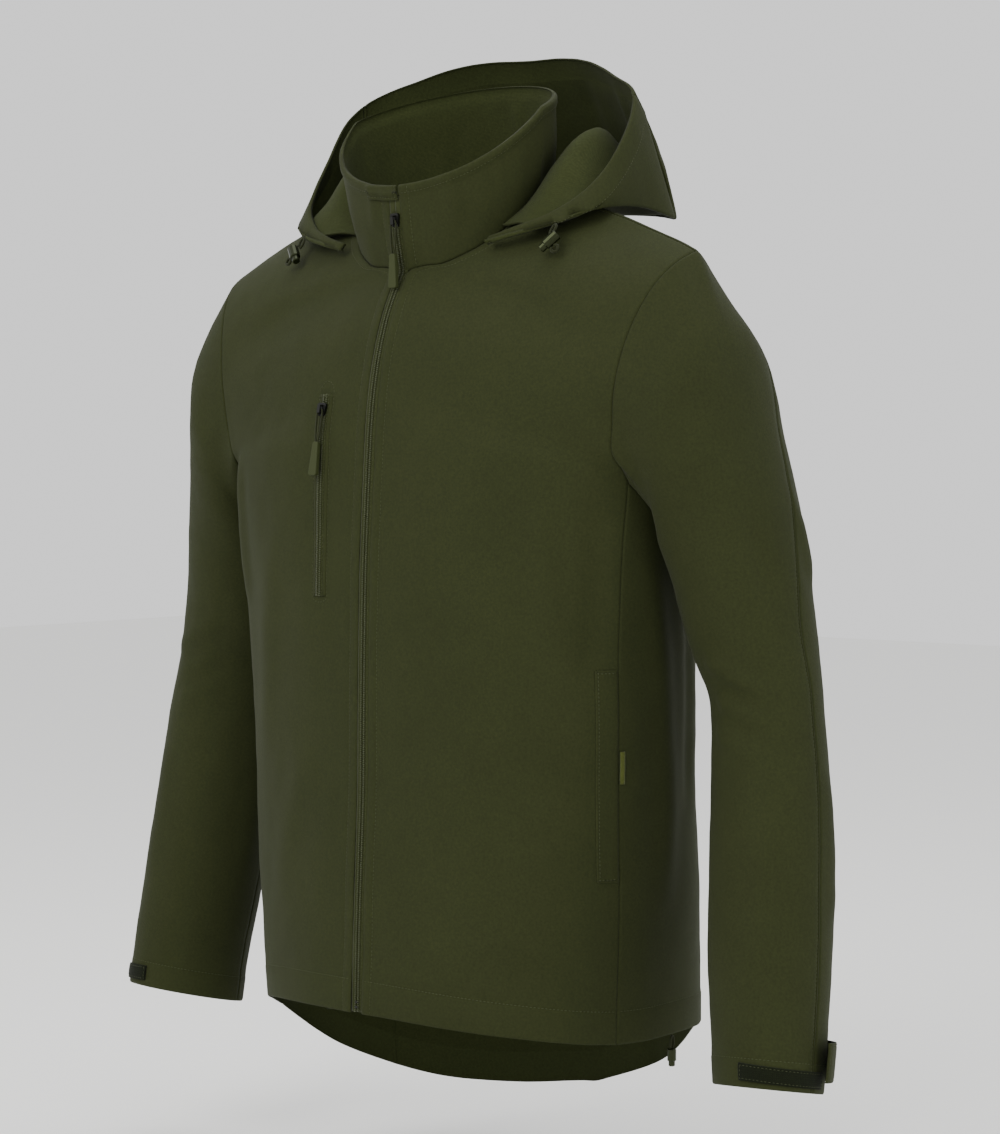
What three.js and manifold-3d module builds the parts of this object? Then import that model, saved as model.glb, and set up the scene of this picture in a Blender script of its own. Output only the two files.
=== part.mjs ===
// Softshell jacket with a stand collar, a hood pushed back and a dropped tail,
// hanging in its worn form with nobody in it.
// Millimetres. +X is the wearer's left, -Y the front, +Z up.
// The origin is the middle of the neck opening, level with the nape seam.
import * as THREE from 'three';
import Module from 'manifold-3d';
import { mergeVertices } from 'three/addons/utils/BufferGeometryUtils.js';

const clothWall = 2.0;      // bonded softshell cloth
const collarWall = 3.0;     // two layers of cloth
const hoodWall = 2.4;
const seamGap = 0.34;       // between neighbouring pieces
const collarGap = 1.3;      // the collar's foot stays clear of the corner at the shoulder seam
const zipHalfOpening = 6.0; // from the centre line to each front edge

// Neck seam and collar top, each an oval ring higher at the back
const neckRing = { half: 90, frontY: -73, sideY: -6, backY: 61, frontZ: -88, sideZ: -24, backZ: 0 };
const collarRing = { half: 103, frontY: -84, sideY: -18, backY: 48, frontZ: -18, sideZ: 44, backZ: 72 };

// Body below the arms: height, half width, depths of front, side and back, squareness
const bodyRings = [
  { z: -205, half: 224, front: -112, side: 2, back: 119, square: 2.5 },
  { z: -258, half: 220, front: -115, side: 4, back: 122, square: 2.5 },
  { z: -300, half: 215, front: -118, side: 6, back: 126, square: 2.45 },
  { z: -350, half: 211, front: -120, side: 8, back: 131, square: 2.4 },
  { z: -400, half: 208, front: -121, side: 10, back: 137, square: 2.35 },
  { z: -460, half: 206, front: -122, side: 14, back: 142, square: 2.3 },
  { z: -525, half: 205, front: -123, side: 16, back: 146, square: 2.25 },
  { z: -600, half: 203, front: -127, side: 22, back: 160, square: 2.2 },
  { z: -700, half: 196, front: -130, side: 28, back: 180, square: 2.1 },
  { z: -800, half: 190, front: -132, side: 30, back: 186, square: 2.1 },
];
const frontSeamAngle = 71;  // degrees round the body from the front zip
const backSeamAngle = 118;

// Front above the underarm: inner edge (round the neck, then down the zip) and armhole edge
const frontRows = [
  { neckAngle: 90, armX: 244, armY: 0, armZ: -76, turn: 8 },
  { neckAngle: 68, armX: 240, armY: -24, armZ: -87, turn: 24 },
  { neckAngle: 46, armX: 233, armY: -43, armZ: -105, turn: 32 },
  { neckAngle: 24, armX: 225, armY: -56, armZ: -130, turn: 38 },
  { neckAngle: 4, armX: 218, armY: -64, armZ: -158, turn: 42 },
  { midY: -91, midZ: -122, armX: 213, armY: -67, armZ: -186, turn: 46 },
  { midY: -103, midZ: -159, armX: 210, armY: -65, armZ: -213, turn: 50 },
  { midY: -110, midZ: -196, armX: 207, armY: -61, armZ: -237, turn: 54 },
];
// Back above the underarm
const backRows = [
  { midY: 82, midZ: -32, armX: 239, armY: 24, armZ: -90, turn: 34 },
  { midY: 97, midZ: -68, armX: 230, armY: 46, armZ: -116, turn: 40 },
  { midY: 108, midZ: -108, armX: 220, armY: 60, armZ: -149, turn: 44 },
  { midY: 115, midZ: -150, armX: 213, armY: 67, armZ: -185, turn: 48 },
  { midY: 119, midZ: -190, armX: 207, armY: 67, armZ: -222, turn: 52 },
];
// Where the lower body begins, and the hem. Angles are positive on the wearer's left.
const chestLine = [
  { angle: 0, z: -232 }, { angle: 40, z: -243 }, { angle: 71, z: -258 }, { angle: 94, z: -288 },
  { angle: 118, z: -254 }, { angle: 145, z: -238 }, { angle: 180, z: -228 },
];
const hemLine = [
  { angle: -180, z: -795 }, { angle: -155, z: -805 }, { angle: -130, z: -800 }, { angle: -100, z: -768 },
  { angle: -71, z: -718 }, { angle: -40, z: -695 }, { angle: 0, z: -688 }, { angle: 40, z: -697 },
  { angle: 71, z: -706 }, { angle: 100, z: -705 }, { angle: 130, z: -716 }, { angle: 155, z: -762 },
  { angle: 180, z: -795 },
];

// Sleeve rings, on the wearer's left: centre, half width and depth, tilt outwards,
// rise of the front edge, turn of the long axis
const sleeveRings = [
  { x: 249, y: 5, z: -214, wide: 82, deep: 69, tilt: 68, rise: 0, swing: 0 },
  { x: 259, y: 12, z: -262, wide: 66, deep: 63, tilt: 52, rise: -4, swing: 0 },
  { x: 271, y: 20, z: -318, wide: 55, deep: 56, tilt: 29, rise: -5, swing: 0 },
  { x: 281, y: 24, z: -375, wide: 51, deep: 50, tilt: 12, rise: -3, swing: 0 },
  { x: 294, y: 25, z: -430, wide: 50, deep: 42, tilt: 4, rise: 2, swing: 25 },
  { x: 302, y: 20, z: -500, wide: 53, deep: 46, tilt: 0, rise: 6, swing: 30 },
  { x: 310, y: 8, z: -600, wide: 54, deep: 48, tilt: -1, rise: 9, swing: 35 },
  { x: 317, y: -3, z: -670, wide: 52, deep: 46, tilt: 1, rise: 11, swing: 40 },
  { x: 321, y: -10, z: -725, wide: 51, deep: 42, tilt: 3, rise: 12, swing: 42 },
];
const sleeveTwist = 58;    // degrees that the seams turn outwards by the wrist

// Hood, from the middle of its back to its front end: rim, lower fold, fullness of the outside,
// place on the neck seam and lift of the base layer between fold and neck
const hoodStations = [
  { rim: [0, 108, 101], fold: [0, 138, -30], belly: 22, neckAngle: 180, lift: 16 },
  { rim: [52, 98, 96], fold: [65, 132, -34], belly: 16, neckAngle: 155, lift: 20 },
  { rim: [105, 70, 78], fold: [125, 115, -38], belly: 5, neckAngle: 129, lift: 40 },
  { rim: [148, 44, 57], fold: [166, 77, -44], belly: 4, neckAngle: 108, lift: 56 },
  { rim: [161, 14, 20], fold: [170, 28, -38], belly: 4, neckAngle: 90, lift: 46 },
  { rim: [154, -18, -20], fold: [164, -20, -41], belly: 3, neckAngle: 76, lift: 20 },
  { rim: [130, -39, -43], fold: [137, -44, -53], belly: 1, neckAngle: 63, lift: 4 },
  { rim: [102, -53, -54], fold: [105, -57, -61], belly: 0, neckAngle: 54, lift: 1 },
  { rim: [78, -58, -61], fold: [79, -61, -67], belly: 0, neckAngle: 47, lift: 0 },
];
const hoodClear = 3.1;      // from the neck seam out to the edge of the hood's base
const hoodCentreEnd = 3;    // the station where the centre panel meets the side panels

const rad = Math.PI / 180;
const vec = (x, y, z) => new THREE.Vector3(x, y, z);
const mix = (a, b, t) => a + (b - a) * t;

// A smooth curve of plain numbers through a table, read at any key between its ends
function readTable(table, key, column, at) {
  const last = table.length - 1;
  const rising = table[last][key] > table[0][key];
  let i = 0;
  while (i < last - 1 && (rising ? at > table[i + 1][key] : at < table[i + 1][key])) i += 1;
  const t = THREE.MathUtils.clamp((at - table[i][key]) / (table[i + 1][key] - table[i][key]), 0, 1);
  const p = [-1, 0, 1, 2].map((k) => table[THREE.MathUtils.clamp(i + k, 0, last)]);
  const slope = (a, b) => (b[column] - a[column]) / ((b[key] - a[key]) || 1);
  const step = p[2][key] - p[1][key];
  const m1 = slope(p[0], p[2]) * step;
  const m2 = slope(p[1], p[3]) * step;
  const t2 = t * t;
  const t3 = t2 * t;
  return (2 * t3 - 3 * t2 + 1) * p[1][column] + (t3 - 2 * t2 + t) * m1
    + (3 * t2 - 2 * t3) * p[2][column] + (t3 - t2) * m2;
}

// The same rule for points: a smooth grid of rows through a few rows
function smoothRows(rows, steps) {
  const out = [];
  rows.forEach((row, r) => {
    out.push(row);
    if (r === rows.length - 1) return;
    const before = rows[Math.max(r - 1, 0)];
    const next = rows[r + 1];
    const after = rows[Math.min(r + 2, rows.length - 1)];
    for (let s = 1; s < steps; s += 1) {
      const t = s / steps;
      out.push(row.map((p, i) => {
        const curve = new THREE.CatmullRomCurve3([before[i], p, next[i], after[i]].map((q) => q.clone()));
        curve.curveType = 'catmullrom';
        return curve.getPoint((1 + t) / 3);
      }));
    }
  });
  return out;
}

// Points evenly spaced along a finely sampled row
function evenly(points, count) {
  const lengths = [0];
  for (let i = 1; i < points.length; i += 1) lengths.push(lengths[i - 1] + points[i].distanceTo(points[i - 1]));
  const total = lengths[lengths.length - 1];
  const out = [];
  let k = 0;
  for (let i = 0; i <= count; i += 1) {
    const want = (total * i) / count;
    while (k < points.length - 2 && lengths[k + 1] < want) k += 1;
    const t = (want - lengths[k]) / ((lengths[k + 1] - lengths[k]) || 1);
    out.push(points[k].clone().lerp(points[k + 1], THREE.MathUtils.clamp(t, 0, 1)));
  }
  return out;
}

// Oval ring: angle 0 is the front, 90 the wearer's left, 180 the back
function ovalPoint(ring, angle) {
  const c = Math.cos(angle * rad);
  const y = c > 0 ? mix(ring.sideY, ring.frontY, c) : mix(ring.sideY, ring.backY, -c);
  const z = c > 0 ? mix(ring.sideZ, ring.frontZ, c) : mix(ring.sideZ, ring.backZ, -c);
  return vec(ring.half * Math.sin(angle * rad), y, z);
}

// A point on the body below the arms
function bodyPoint(angle, z) {
  const read = (column) => readTable(bodyRings, 'z', column, z);
  const power = 2 / read('square');
  const s = Math.sin(angle * rad);
  const c = Math.cos(angle * rad);
  const depth = c > 0 ? read('side') - read('front') : read('back') - read('side');
  const x = read('half') * Math.sign(s) * Math.abs(s) ** power;
  return vec(x, read('side') - Math.sign(c) * depth * Math.abs(c) ** power, z);
}
const chestZ = (angle) => readTable(chestLine, 'angle', 'z', Math.abs(angle));
const hemZ = (angle) => readTable(hemLine, 'angle', 'z', angle);

// A level row of the lower body between two angles; share runs from 0, the chest line, to 1, the hem
function lowerRow(fromAngle, toAngle, share, count) {
  const fine = [];
  for (let i = 0; i <= 48; i += 1) {
    const angle = mix(fromAngle, toAngle, i / 48);
    fine.push(bodyPoint(angle, mix(chestZ(angle), hemZ(angle), share)));
  }
  return evenly(fine, count);
}
const lowerShares = [0, 0.1, 0.22, 0.35, 0.48, 0.61, 0.74, 0.87, 1];

// A bowed row from an inner to an outer point
function bowedRow(from, to, turn, count) {
  const fine = [];
  for (let i = 0; i <= 40; i += 1) {
    const a = turn * rad * (i / 40);
    const along = Math.sin(a) / Math.sin(turn * rad);
    const back = (1 - Math.cos(a)) / (1 - Math.cos(turn * rad));
    fine.push(vec(mix(from.x, to.x, along), mix(from.y, to.y, back), mix(from.z, to.z, mix(along, back, 0.5))));
  }
  return evenly(fine, count);
}

const frontColumns = 8;
const neckColumns = 5;
const sideColumns = 5;

const neckCornerRow = 8;
function frontGrid(sign) {
  const zipAngle = 1.2;
  const rows = frontRows.map((row) => {
    const inner = row.neckAngle !== undefined ? ovalPoint(neckRing, row.neckAngle) : vec(0, row.midY, row.midZ);
    if (row.neckAngle === undefined || row.neckAngle < 5) inner.x = zipHalfOpening;
    return bowedRow(inner, vec(row.armX, row.armY, row.armZ), row.turn, frontColumns);
  });
  const lower = lowerShares.map((share) => {
    const line = lowerRow(zipAngle * sign, frontSeamAngle * sign, share, frontColumns);
    line[0].x = zipHalfOpening * sign;
    return line.map((p) => vec(Math.abs(p.x), p.y, p.z));
  });
  const upper = smoothRows([...rows, lower[0], lower[1]], 2).slice(0, rows.length * 2);
  upper.slice(neckCornerRow).forEach((row) => { row[0].x = zipHalfOpening; });
  return [...upper, ...lower].map((row) => row.map((p) => vec(p.x * sign, p.y, p.z)));
}

function sideGrid(sign) {
  return lowerShares.map((share) => lowerRow(frontSeamAngle * sign, backSeamAngle * sign, share, sideColumns));
}

function backGrid() {
  const halfColumns = frontColumns + neckColumns;
  const shoulder = [...frontGrid(1)[0]].reverse();
  const nape = [];
  for (let i = 1; i <= neckColumns; i += 1) nape.push(ovalPoint(neckRing, 90 + (90 * i) / neckColumns));
  const mirror = (half) => [...half, ...half.slice(0, -1).reverse().map((p) => vec(-p.x, p.y, p.z))];
  const top = mirror([...shoulder, ...nape]);
  const rows = backRows.map((row) => {
    const half = bowedRow(vec(0, -row.midY, row.midZ), vec(row.armX, -row.armY, row.armZ), row.turn, halfColumns);
    return mirror(half.map((p) => vec(p.x, -p.y, p.z)).reverse());
  });
  const lower = lowerShares.map((share) => {
    const left = lowerRow(backSeamAngle, 180, share, halfColumns);
    const right = lowerRow(-180, -backSeamAngle, share, halfColumns);
    return [...left, ...right.slice(1)];
  });
  const upper = smoothRows([top, ...rows, lower[0], lower[1]], 2).slice(0, (rows.length + 1) * 2);
  return [...upper, ...lower];
}

const grids = {
  front_left: frontGrid(1),
  front_right: frontGrid(-1),
  side_left: sideGrid(1),
  side_right: sideGrid(-1),
  back: backGrid(),
};

// Armhole edge on the wearer's left: down the front, under the arm, up the back to the shoulder
const armRowsFront = frontRows.length * 2;
const armRowsBack = (backRows.length + 1) * 2;
function armholeEdge() {
  const down = grids.front_left.slice(0, armRowsFront + 1).map((row) => row[frontColumns]);
  const under = grids.side_left[0].slice(1);
  const up = grids.back.slice(0, armRowsBack).map((row) => row[0]).reverse();
  return [...down, ...under, ...up.slice(0, -1)];
}

function sleeveGrid() {
  const edge = armholeEdge();
  const loop = [...edge, edge[0]];
  const along = [0];
  for (let i = 1; i < loop.length; i += 1) along.push(along[i - 1] + loop[i].distanceTo(loop[i - 1]));
  const share = along.map((a) => a / along[along.length - 1]);
  const rings = sleeveRings.map((ring, r) => {
    const twist = sleeveTwist * Math.min(1, (r + 1) / 4);
    const outward = vec(Math.cos(ring.tilt * rad), 0, Math.sin(ring.tilt * rad));
    const forward = vec(0, -Math.cos(ring.rise * rad), Math.sin(ring.rise * rad));
    return share.map((s) => {
      const angle = s * 360 + twist - ring.swing;
      const a = ring.wide * Math.cos(angle * rad);
      const b = ring.deep * Math.sin(angle * rad);
      const out = a * Math.cos(ring.swing * rad) - b * Math.sin(ring.swing * rad);
      const fore = a * Math.sin(ring.swing * rad) + b * Math.cos(ring.swing * rad);
      return vec(ring.x, ring.y, ring.z).addScaledVector(outward, out).addScaledVector(forward, fore);
    });
  });
  const fine = 5;
  return [...smoothRows([loop, ...rings.slice(0, fine + 1)], 2).slice(0, fine * 2), ...rings.slice(fine - 1)];
}
const frontCornerColumn = armRowsFront;
const elbowColumn = armRowsFront + sideColumns + Math.round(armRowsBack * 0.55);

// Sleeve pieces: the top sleeve runs over the front, the under sleeve over the back
function sleevePiece(piece, sign) {
  const whole = sleeveGrid();
  const last = whole[0].length - 1;
  const rows = whole.map((row) => (piece === 'under'
    ? row.slice(frontCornerColumn, elbowColumn + 1)
    : [...row.slice(elbowColumn, last), ...row.slice(0, frontCornerColumn + 1)]));
  return rows.map((row) => row.map((p) => vec(p.x * sign, p.y, p.z)));
}
for (const [side, sign] of [['left', 1], ['right', -1]]) {
  grids[`top_sleeve_${side}`] = sleevePiece('top', sign);
  grids[`under_sleeve_${side}`] = sleevePiece('under', sign);
}

// Collar: its lower edge is the neck edge of the fronts and the back
function collarGrid() {
  const neckRows = frontRows.filter((row) => row.neckAngle !== undefined).length;
  const leftNeck = grids.front_left.slice(0, (neckRows - 1) * 2 + 1).map((row) => row[0]).reverse();
  const nape = grids.back[0].slice(frontColumns + 1, -frontColumns - 1);
  const rightNeck = [...leftNeck].reverse().map((p) => vec(-p.x, p.y, p.z));
  const base = [...leftNeck, ...nape, ...rightNeck];
  const angleOf = (p) => Math.atan2(p.x / neckRing.half, -(p.y - neckRing.sideY) / (p.y < neckRing.sideY
    ? neckRing.sideY - neckRing.frontY : neckRing.backY - neckRing.sideY)) / rad;
  const top = base.map((p, i) => {
    const q = ovalPoint(collarRing, angleOf(p));
    if (i === 0 || i === base.length - 1) q.x = zipHalfOpening * Math.sign(p.x);
    return q;
  });
  const belly = base.map((p, i) => p.clone().lerp(top[i], 0.45).multiply(vec(1.02, 1.02, 1)));
  belly[0].x = base[0].x;
  belly[belly.length - 1].x = base[base.length - 1].x;
  return smoothRows([base, belly, top], 2);
}
grids.collar = collarGrid();

// Hood: centre and side panels from the rim down to the fold, and the base from the fold to the neck
const hoodSteps = 2;
function hoodCurve(read) {
  const half = hoodStations.map(read);
  const points = [...half.slice(1).reverse().map((p) => vec(-p.x, p.y, p.z)), ...half];
  return new THREE.CatmullRomCurve3(points, false, 'catmullrom', 0.5).getPoints((points.length - 1) * hoodSteps);
}
const hoodOutward = (s) => vec(s.fold[0], s.fold[1] - 30, 0).normalize();
const hoodLevel = (share, fullness) => hoodCurve((s) => vec(...s.rim).lerp(vec(...s.fold), share)
  .addScaledVector(hoodOutward(s), s.belly * fullness));
const hoodRows = smoothRows([hoodLevel(0, 0), hoodLevel(0.33, 0.8), hoodLevel(0.68, 1), hoodLevel(1, 0)], 2);
const hoodNeck = (s) => {
  const p = ovalPoint(neckRing, s.neckAngle);
  return p.add(vec(p.x, p.y - neckRing.sideY, 0).setLength(hoodClear)).add(vec(0, 0, hoodClear * 0.6));
};
const baseInset = 6.2;      // the base starts inside the outer panels, clear of them
const baseLevel = (share, lift) => hoodCurve((s) => {
  const start = vec(...s.fold);
  start.addScaledVector(hoodOutward(s), -baseInset);
  return start.lerp(hoodNeck(s), share).add(vec(0, 0, s.lift * lift));
});
const baseRows = smoothRows([baseLevel(0, 0), baseLevel(0.3, 0.55), baseLevel(0.6, 1), baseLevel(0.85, 0.5),
  baseLevel(1, 0)], 1);
const hoodMiddle = (hoodStations.length - 1) * hoodSteps;
const hoodSplit = hoodCentreEnd * hoodSteps;
const hoodPart = (from, to) => hoodRows.map((row) => row.slice(from, to + 1));
grids.hood_side_right = hoodPart(0, hoodMiddle - hoodSplit);
grids.hood_centre = hoodPart(hoodMiddle - hoodSplit, hoodMiddle + hoodSplit);
grids.hood_side_left = hoodPart(hoodMiddle + hoodSplit, hoodMiddle * 2);
const baseEnd = 2.5 * hoodSteps;  // the last stations are too low to cover a base
grids.hood_base = baseRows.map((row) => row.slice(baseEnd, row.length - baseEnd));

// A wall from a grid of outer points. The pieces that share an edge share its normals,
// so the cut faces there are parallel, with the seam gap between them.
const key = (p) => `${p.x.toFixed(2)} ${p.y.toFixed(2)} ${p.z.toFixed(2)}`;
function gridNormals(grid, flip) {
  return grid.map((row, i) => row.map((p, j) => {
    const down = (grid[Math.min(i + 1, grid.length - 1)][j]).clone().sub(grid[Math.max(i - 1, 0)][j]);
    const across = (row[Math.min(j + 1, row.length - 1)]).clone().sub(row[Math.max(j - 1, 0)]);
    return down.cross(across).normalize().multiplyScalar(flip ? -1 : 1);
  }));
}

function wallGeometry(grid, wall, flip, shared = new Map(), gap = seamGap) {
  const normals = gridNormals(grid, flip);
  const lastRow = grid.length - 1;
  const lastColumn = grid[0].length - 1;
  const outer = [];
  const inner = [];
  grid.forEach((row, i) => row.forEach((p, j) => {
    const own = normals[i][j];
    const sum = shared.get(key(p));
    const normal = sum ? sum.clone().normalize() : own;
    const lean = Math.max(normal.dot(own), 0.7);
    const shift = vec(0, 0, 0);
    const edges = [];
    if (i === 0 || i === lastRow) {
      edges.push([row[Math.min(j + 1, lastColumn)].clone().sub(row[Math.max(j - 1, 0)]), grid[i === 0 ? 1 : i - 1][j]]);
    }
    if (j === 0 || j === lastColumn) {
      edges.push([grid[Math.min(i + 1, lastRow)][j].clone().sub(grid[Math.max(i - 1, 0)][j]), row[j === 0 ? 1 : j - 1]]);
    }
    edges.forEach(([along, inside]) => {
      const away = along.cross(normal).normalize();
      if (away.dot(inside.clone().sub(p)) < 0) away.negate();
      shift.addScaledVector(away, gap / 2);
    });
    const at = p.clone().add(shift);
    outer.push(at);
    inner.push(at.clone().addScaledVector(normal, -wall / lean));
  }));
  const width = lastColumn + 1;
  const points = [...outer, ...inner];
  const half = outer.length;
  const triangles = [];
  const quad = (a, b, c, d) => triangles.push(a, b, c, a, c, d);
  for (let i = 0; i < lastRow; i += 1) {
    for (let j = 0; j < lastColumn; j += 1) {
      const a = i * width + j;
      quad(a, a + width, a + width + 1, a + 1);
      quad(half + a, half + a + 1, half + a + width + 1, half + a + width);
    }
  }
  for (let j = 0; j < lastColumn; j += 1) {
    quad(j, j + 1, half + j + 1, half + j);
    const b = lastRow * width + j;
    quad(b + 1, b, half + b, half + b + 1);
  }
  for (let i = 0; i < lastRow; i += 1) {
    const a = i * width;
    quad(a + width, a, half + a, half + a + width);
    const b = i * width + lastColumn;
    quad(b, b + width, half + b + width, half + b);
  }
  if (flip) {
    for (let i = 0; i < triangles.length; i += 3) [triangles[i + 1], triangles[i + 2]] = [triangles[i + 2], triangles[i + 1]];
  }
  const geometry = new THREE.BufferGeometry();
  geometry.setAttribute('position', new THREE.Float32BufferAttribute(points.flatMap((p) => [p.x, p.y, p.z]), 3));
  geometry.setIndex(triangles);
  geometry.computeVertexNormals();
  return geometry;
}

const oliveCloth = { color: '#363a21', roughness: 0.85, metalness: 0 };
const oliveTrim = { color: '#3c4126', roughness: 0.6, metalness: 0 };
const oliveCord = { color: '#33381f', roughness: 0.7, metalness: 0 };
const darkLoop = { color: '#23271a', roughness: 0.95, metalness: 0 };
const darkMetal = { color: '#2a2b26', roughness: 0.35, metalness: 0.8 };

const jacket = new THREE.Group();
function add(name, geometry, finish, place = jacket) {
  const mesh = new THREE.Mesh(geometry, new THREE.MeshStandardMaterial(finish));
  mesh.name = name;
  place.add(mesh);
  return mesh;
}

// Grids whose rows and columns run the other way round, seen from outside
const turned = new Set(['front_right', 'side_right', 'top_sleeve_left', 'under_sleeve_left', 'collar',
  'hood_side_right', 'hood_centre', 'hood_side_left', 'hood_base']);
const isFlipped = (name) => turned.has(name);

function shareNormals(names) {
  const shared = new Map();
  names.forEach((name) => {
    const normals = gridNormals(grids[name], isFlipped(name));
    grids[name].forEach((row, i) => row.forEach((p, j) => {
      const border = i === 0 || j === 0 || i === grids[name].length - 1 || j === row.length - 1;
      if (!border) return;
      const at = key(p);
      if (!shared.has(at)) shared.set(at, vec(0, 0, 0));
      shared.get(at).add(normals[i][j]);
    }));
  });
  return shared;
}

const isHood = (name) => name.startsWith('hood');
for (const names of [Object.keys(grids).filter(isHood), Object.keys(grids).filter((name) => !isHood(name))]) {
  const sharedNormals = shareNormals(names);
  for (const name of names) {
    const wall = { collar: collarWall, hood: hoodWall }[name.split('_')[0]] || clothWall;
    const gap = name === 'collar' ? collarGap : seamGap;
    add(name, wallGeometry(grids[name], wall, isFlipped(name), sharedNormals, gap), oliveCloth);
  }
}

// Pieces that lie on a panel: its own points moved out, so that they follow it
function layOn(grid, distance, flip) {
  const normals = gridNormals(grid, flip);
  return grid.map((row, i) => row.map((p, j) => p.clone().addScaledVector(normals[i][j], distance)));
}

// Front zip: two tapes, each with its half of the teeth, along the centre line
const zipTop = -27;
const zipTapeWall = 1.3;
const tapeRecess = 0.5;
const collarFront = grids.collar.map((row) => row[0]).reverse();
const frontEdge = grids.front_left.slice(neckCornerRow + 1).map((row) => row[0]);
const centreLine = [...collarFront, ...frontEdge].map((p) => vec(0, p.y, p.z));
const centreY = (z) => {
  const i = centreLine.findIndex((p) => p.z <= z);
  const [a, b] = [centreLine[Math.max(i - 1, 0)], centreLine[Math.max(i, 1)]];
  return mix(a.y, b.y, (z - a.z) / (b.z - a.z));
};
for (const [side, sign] of [['left', 1], ['right', -1]]) {
  const line = [vec(0, centreY(zipTop), zipTop), ...centreLine.filter((p) => p.z < zipTop - 4)];
  const tape = line.map((p) => [0, 0.5, 1].map((t) => vec(sign * t * (zipHalfOpening - 0.2), p.y + tapeRecess, p.z)));
  add(`front_zip_tape_${side}`, wallGeometry(tape, zipTapeWall, sign < 0), oliveTrim);
}

// A point at a fractional row and column of a grid
function onGrid(grid, row, column) {
  const i = Math.min(Math.floor(row), grid.length - 2);
  const j = Math.min(Math.floor(column), grid[0].length - 2);
  const near = grid[i][j].clone().lerp(grid[i][j + 1], column - j);
  return near.lerp(grid[i + 1][j].clone().lerp(grid[i + 1][j + 1], column - j), row - i);
}

// Garage: the folded tab on the wearer's right that covers the top of the zip
const garage = { low: 0.8, reach: 1.5, past: 4, lift: 0.45, wall: 1.8 };
const collarRows = grids.collar.length - 1;
const collarEnd = grids.collar[0].length - 1;
const garageGrid = [garage.low, mix(garage.low, 1, 0.5), 1].map((height) => {
  const edge = onGrid(grids.collar, height * collarRows, collarEnd);
  const row = [0, 0.33, 0.67, 1].map((t) => onGrid(grids.collar, height * collarRows, collarEnd - t * garage.reach));
  return [vec(garage.past, edge.y, edge.z), vec(-1, edge.y, edge.z), ...row];
});
add('zip_garage', wallGeometry(layOn(garageGrid, garage.lift + garage.wall, false), garage.wall, false), oliveCloth);

// The front of the jacket as a depth for any x and z, for what lies on it
function frontAt(x, z) {
  const grid = grids[x < 0 ? 'front_right' : 'front_left'];
  for (let i = 0; i < grid.length - 1; i += 1) {
    for (let j = 0; j < grid[0].length - 1; j += 1) {
      const corners = [[grid[i][j], grid[i + 1][j], grid[i + 1][j + 1]], [grid[i][j], grid[i + 1][j + 1], grid[i][j + 1]]];
      for (const [a, b, c] of corners) {
        const area = (b.x - a.x) * (c.z - a.z) - (c.x - a.x) * (b.z - a.z);
        const v = ((x - a.x) * (c.z - a.z) - (c.x - a.x) * (z - a.z)) / area;
        const w = ((b.x - a.x) * (z - a.z) - (x - a.x) * (b.z - a.z)) / area;
        if (v >= -1e-6 && w >= -1e-6 && v + w <= 1 + 1e-6) return vec(x, a.y + v * (b.y - a.y) + w * (c.y - a.y), z);
      }
    }
  }
  return vec(x, centreY(z), z);
}

// Chest pocket zip on the wearer's right: the strip, then the slider and pull
const chestZip = { topX: -55, topZ: -186, bottomX: -51, bottomZ: -352, width: 8, wall: 1.2, lift: 0.35, rows: 12 };
const chestGrid = Array.from({ length: chestZip.rows + 1 }, (unused, i) => {
  const t = i / chestZip.rows;
  const x = mix(chestZip.topX, chestZip.bottomX, t);
  return [-0.5, 0, 0.5].map((k) => frontAt(x + k * chestZip.width, mix(chestZip.topZ, chestZip.bottomZ, t)));
});
add('chest_zip_tape', wallGeometry(layOn(chestGrid, chestZip.lift + chestZip.wall, false), chestZip.wall), oliveTrim);

// Hand pockets: a welt along each front seam, and a plain tab in the left one
const pocket = { topZ: -405, bottomZ: -574, width: 20, wall: 1.8, lift: 0.35, rows: 10 };
function pocketGrid(sign, fromWidth, toWidth) {
  return Array.from({ length: pocket.rows + 1 }, (unused, i) => {
    const z = mix(pocket.topZ, pocket.bottomZ, i / pocket.rows);
    const edge = bodyPoint(frontSeamAngle * sign, z);
    const degreesPerMm = 1 / bodyPoint((frontSeamAngle - 1) * sign, z).distanceTo(edge);
    return [0, 0.33, 0.67, 1].map((t) => {
      const inFromSeam = mix(fromWidth, toWidth, t) * degreesPerMm;
      return bodyPoint((frontSeamAngle - inFromSeam) * sign, z);
    });
  });
}
for (const [side, sign] of [['left', 1], ['right', -1]]) {
  const welt = layOn(pocketGrid(sign, pocket.width, 0.6), pocket.lift + pocket.wall, sign < 0);
  add(`pocket_welt_${side}`, wallGeometry(welt, pocket.wall, sign < 0), oliveCloth);
}
const tab = { topZ: -470, bottomZ: -496, out: 5.5, wall: 0.9, lift: 0.5 };
const tabGrid = [0, 0.5, 1].map((t) => [0, 0.5, 1].map((k) => {
  const z = mix(tab.topZ, tab.bottomZ, t);
  const edge = bodyPoint(frontSeamAngle, z);
  const degreesPerMm = 1 / bodyPoint(frontSeamAngle + 1, z).distanceTo(edge);
  return bodyPoint(frontSeamAngle + mix(1, tab.out, k) * degreesPerMm, z);
}));
add('pocket_tab', wallGeometry(layOn(tabGrid, tab.lift + tab.wall, false), tab.wall), oliveTrim);

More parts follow.
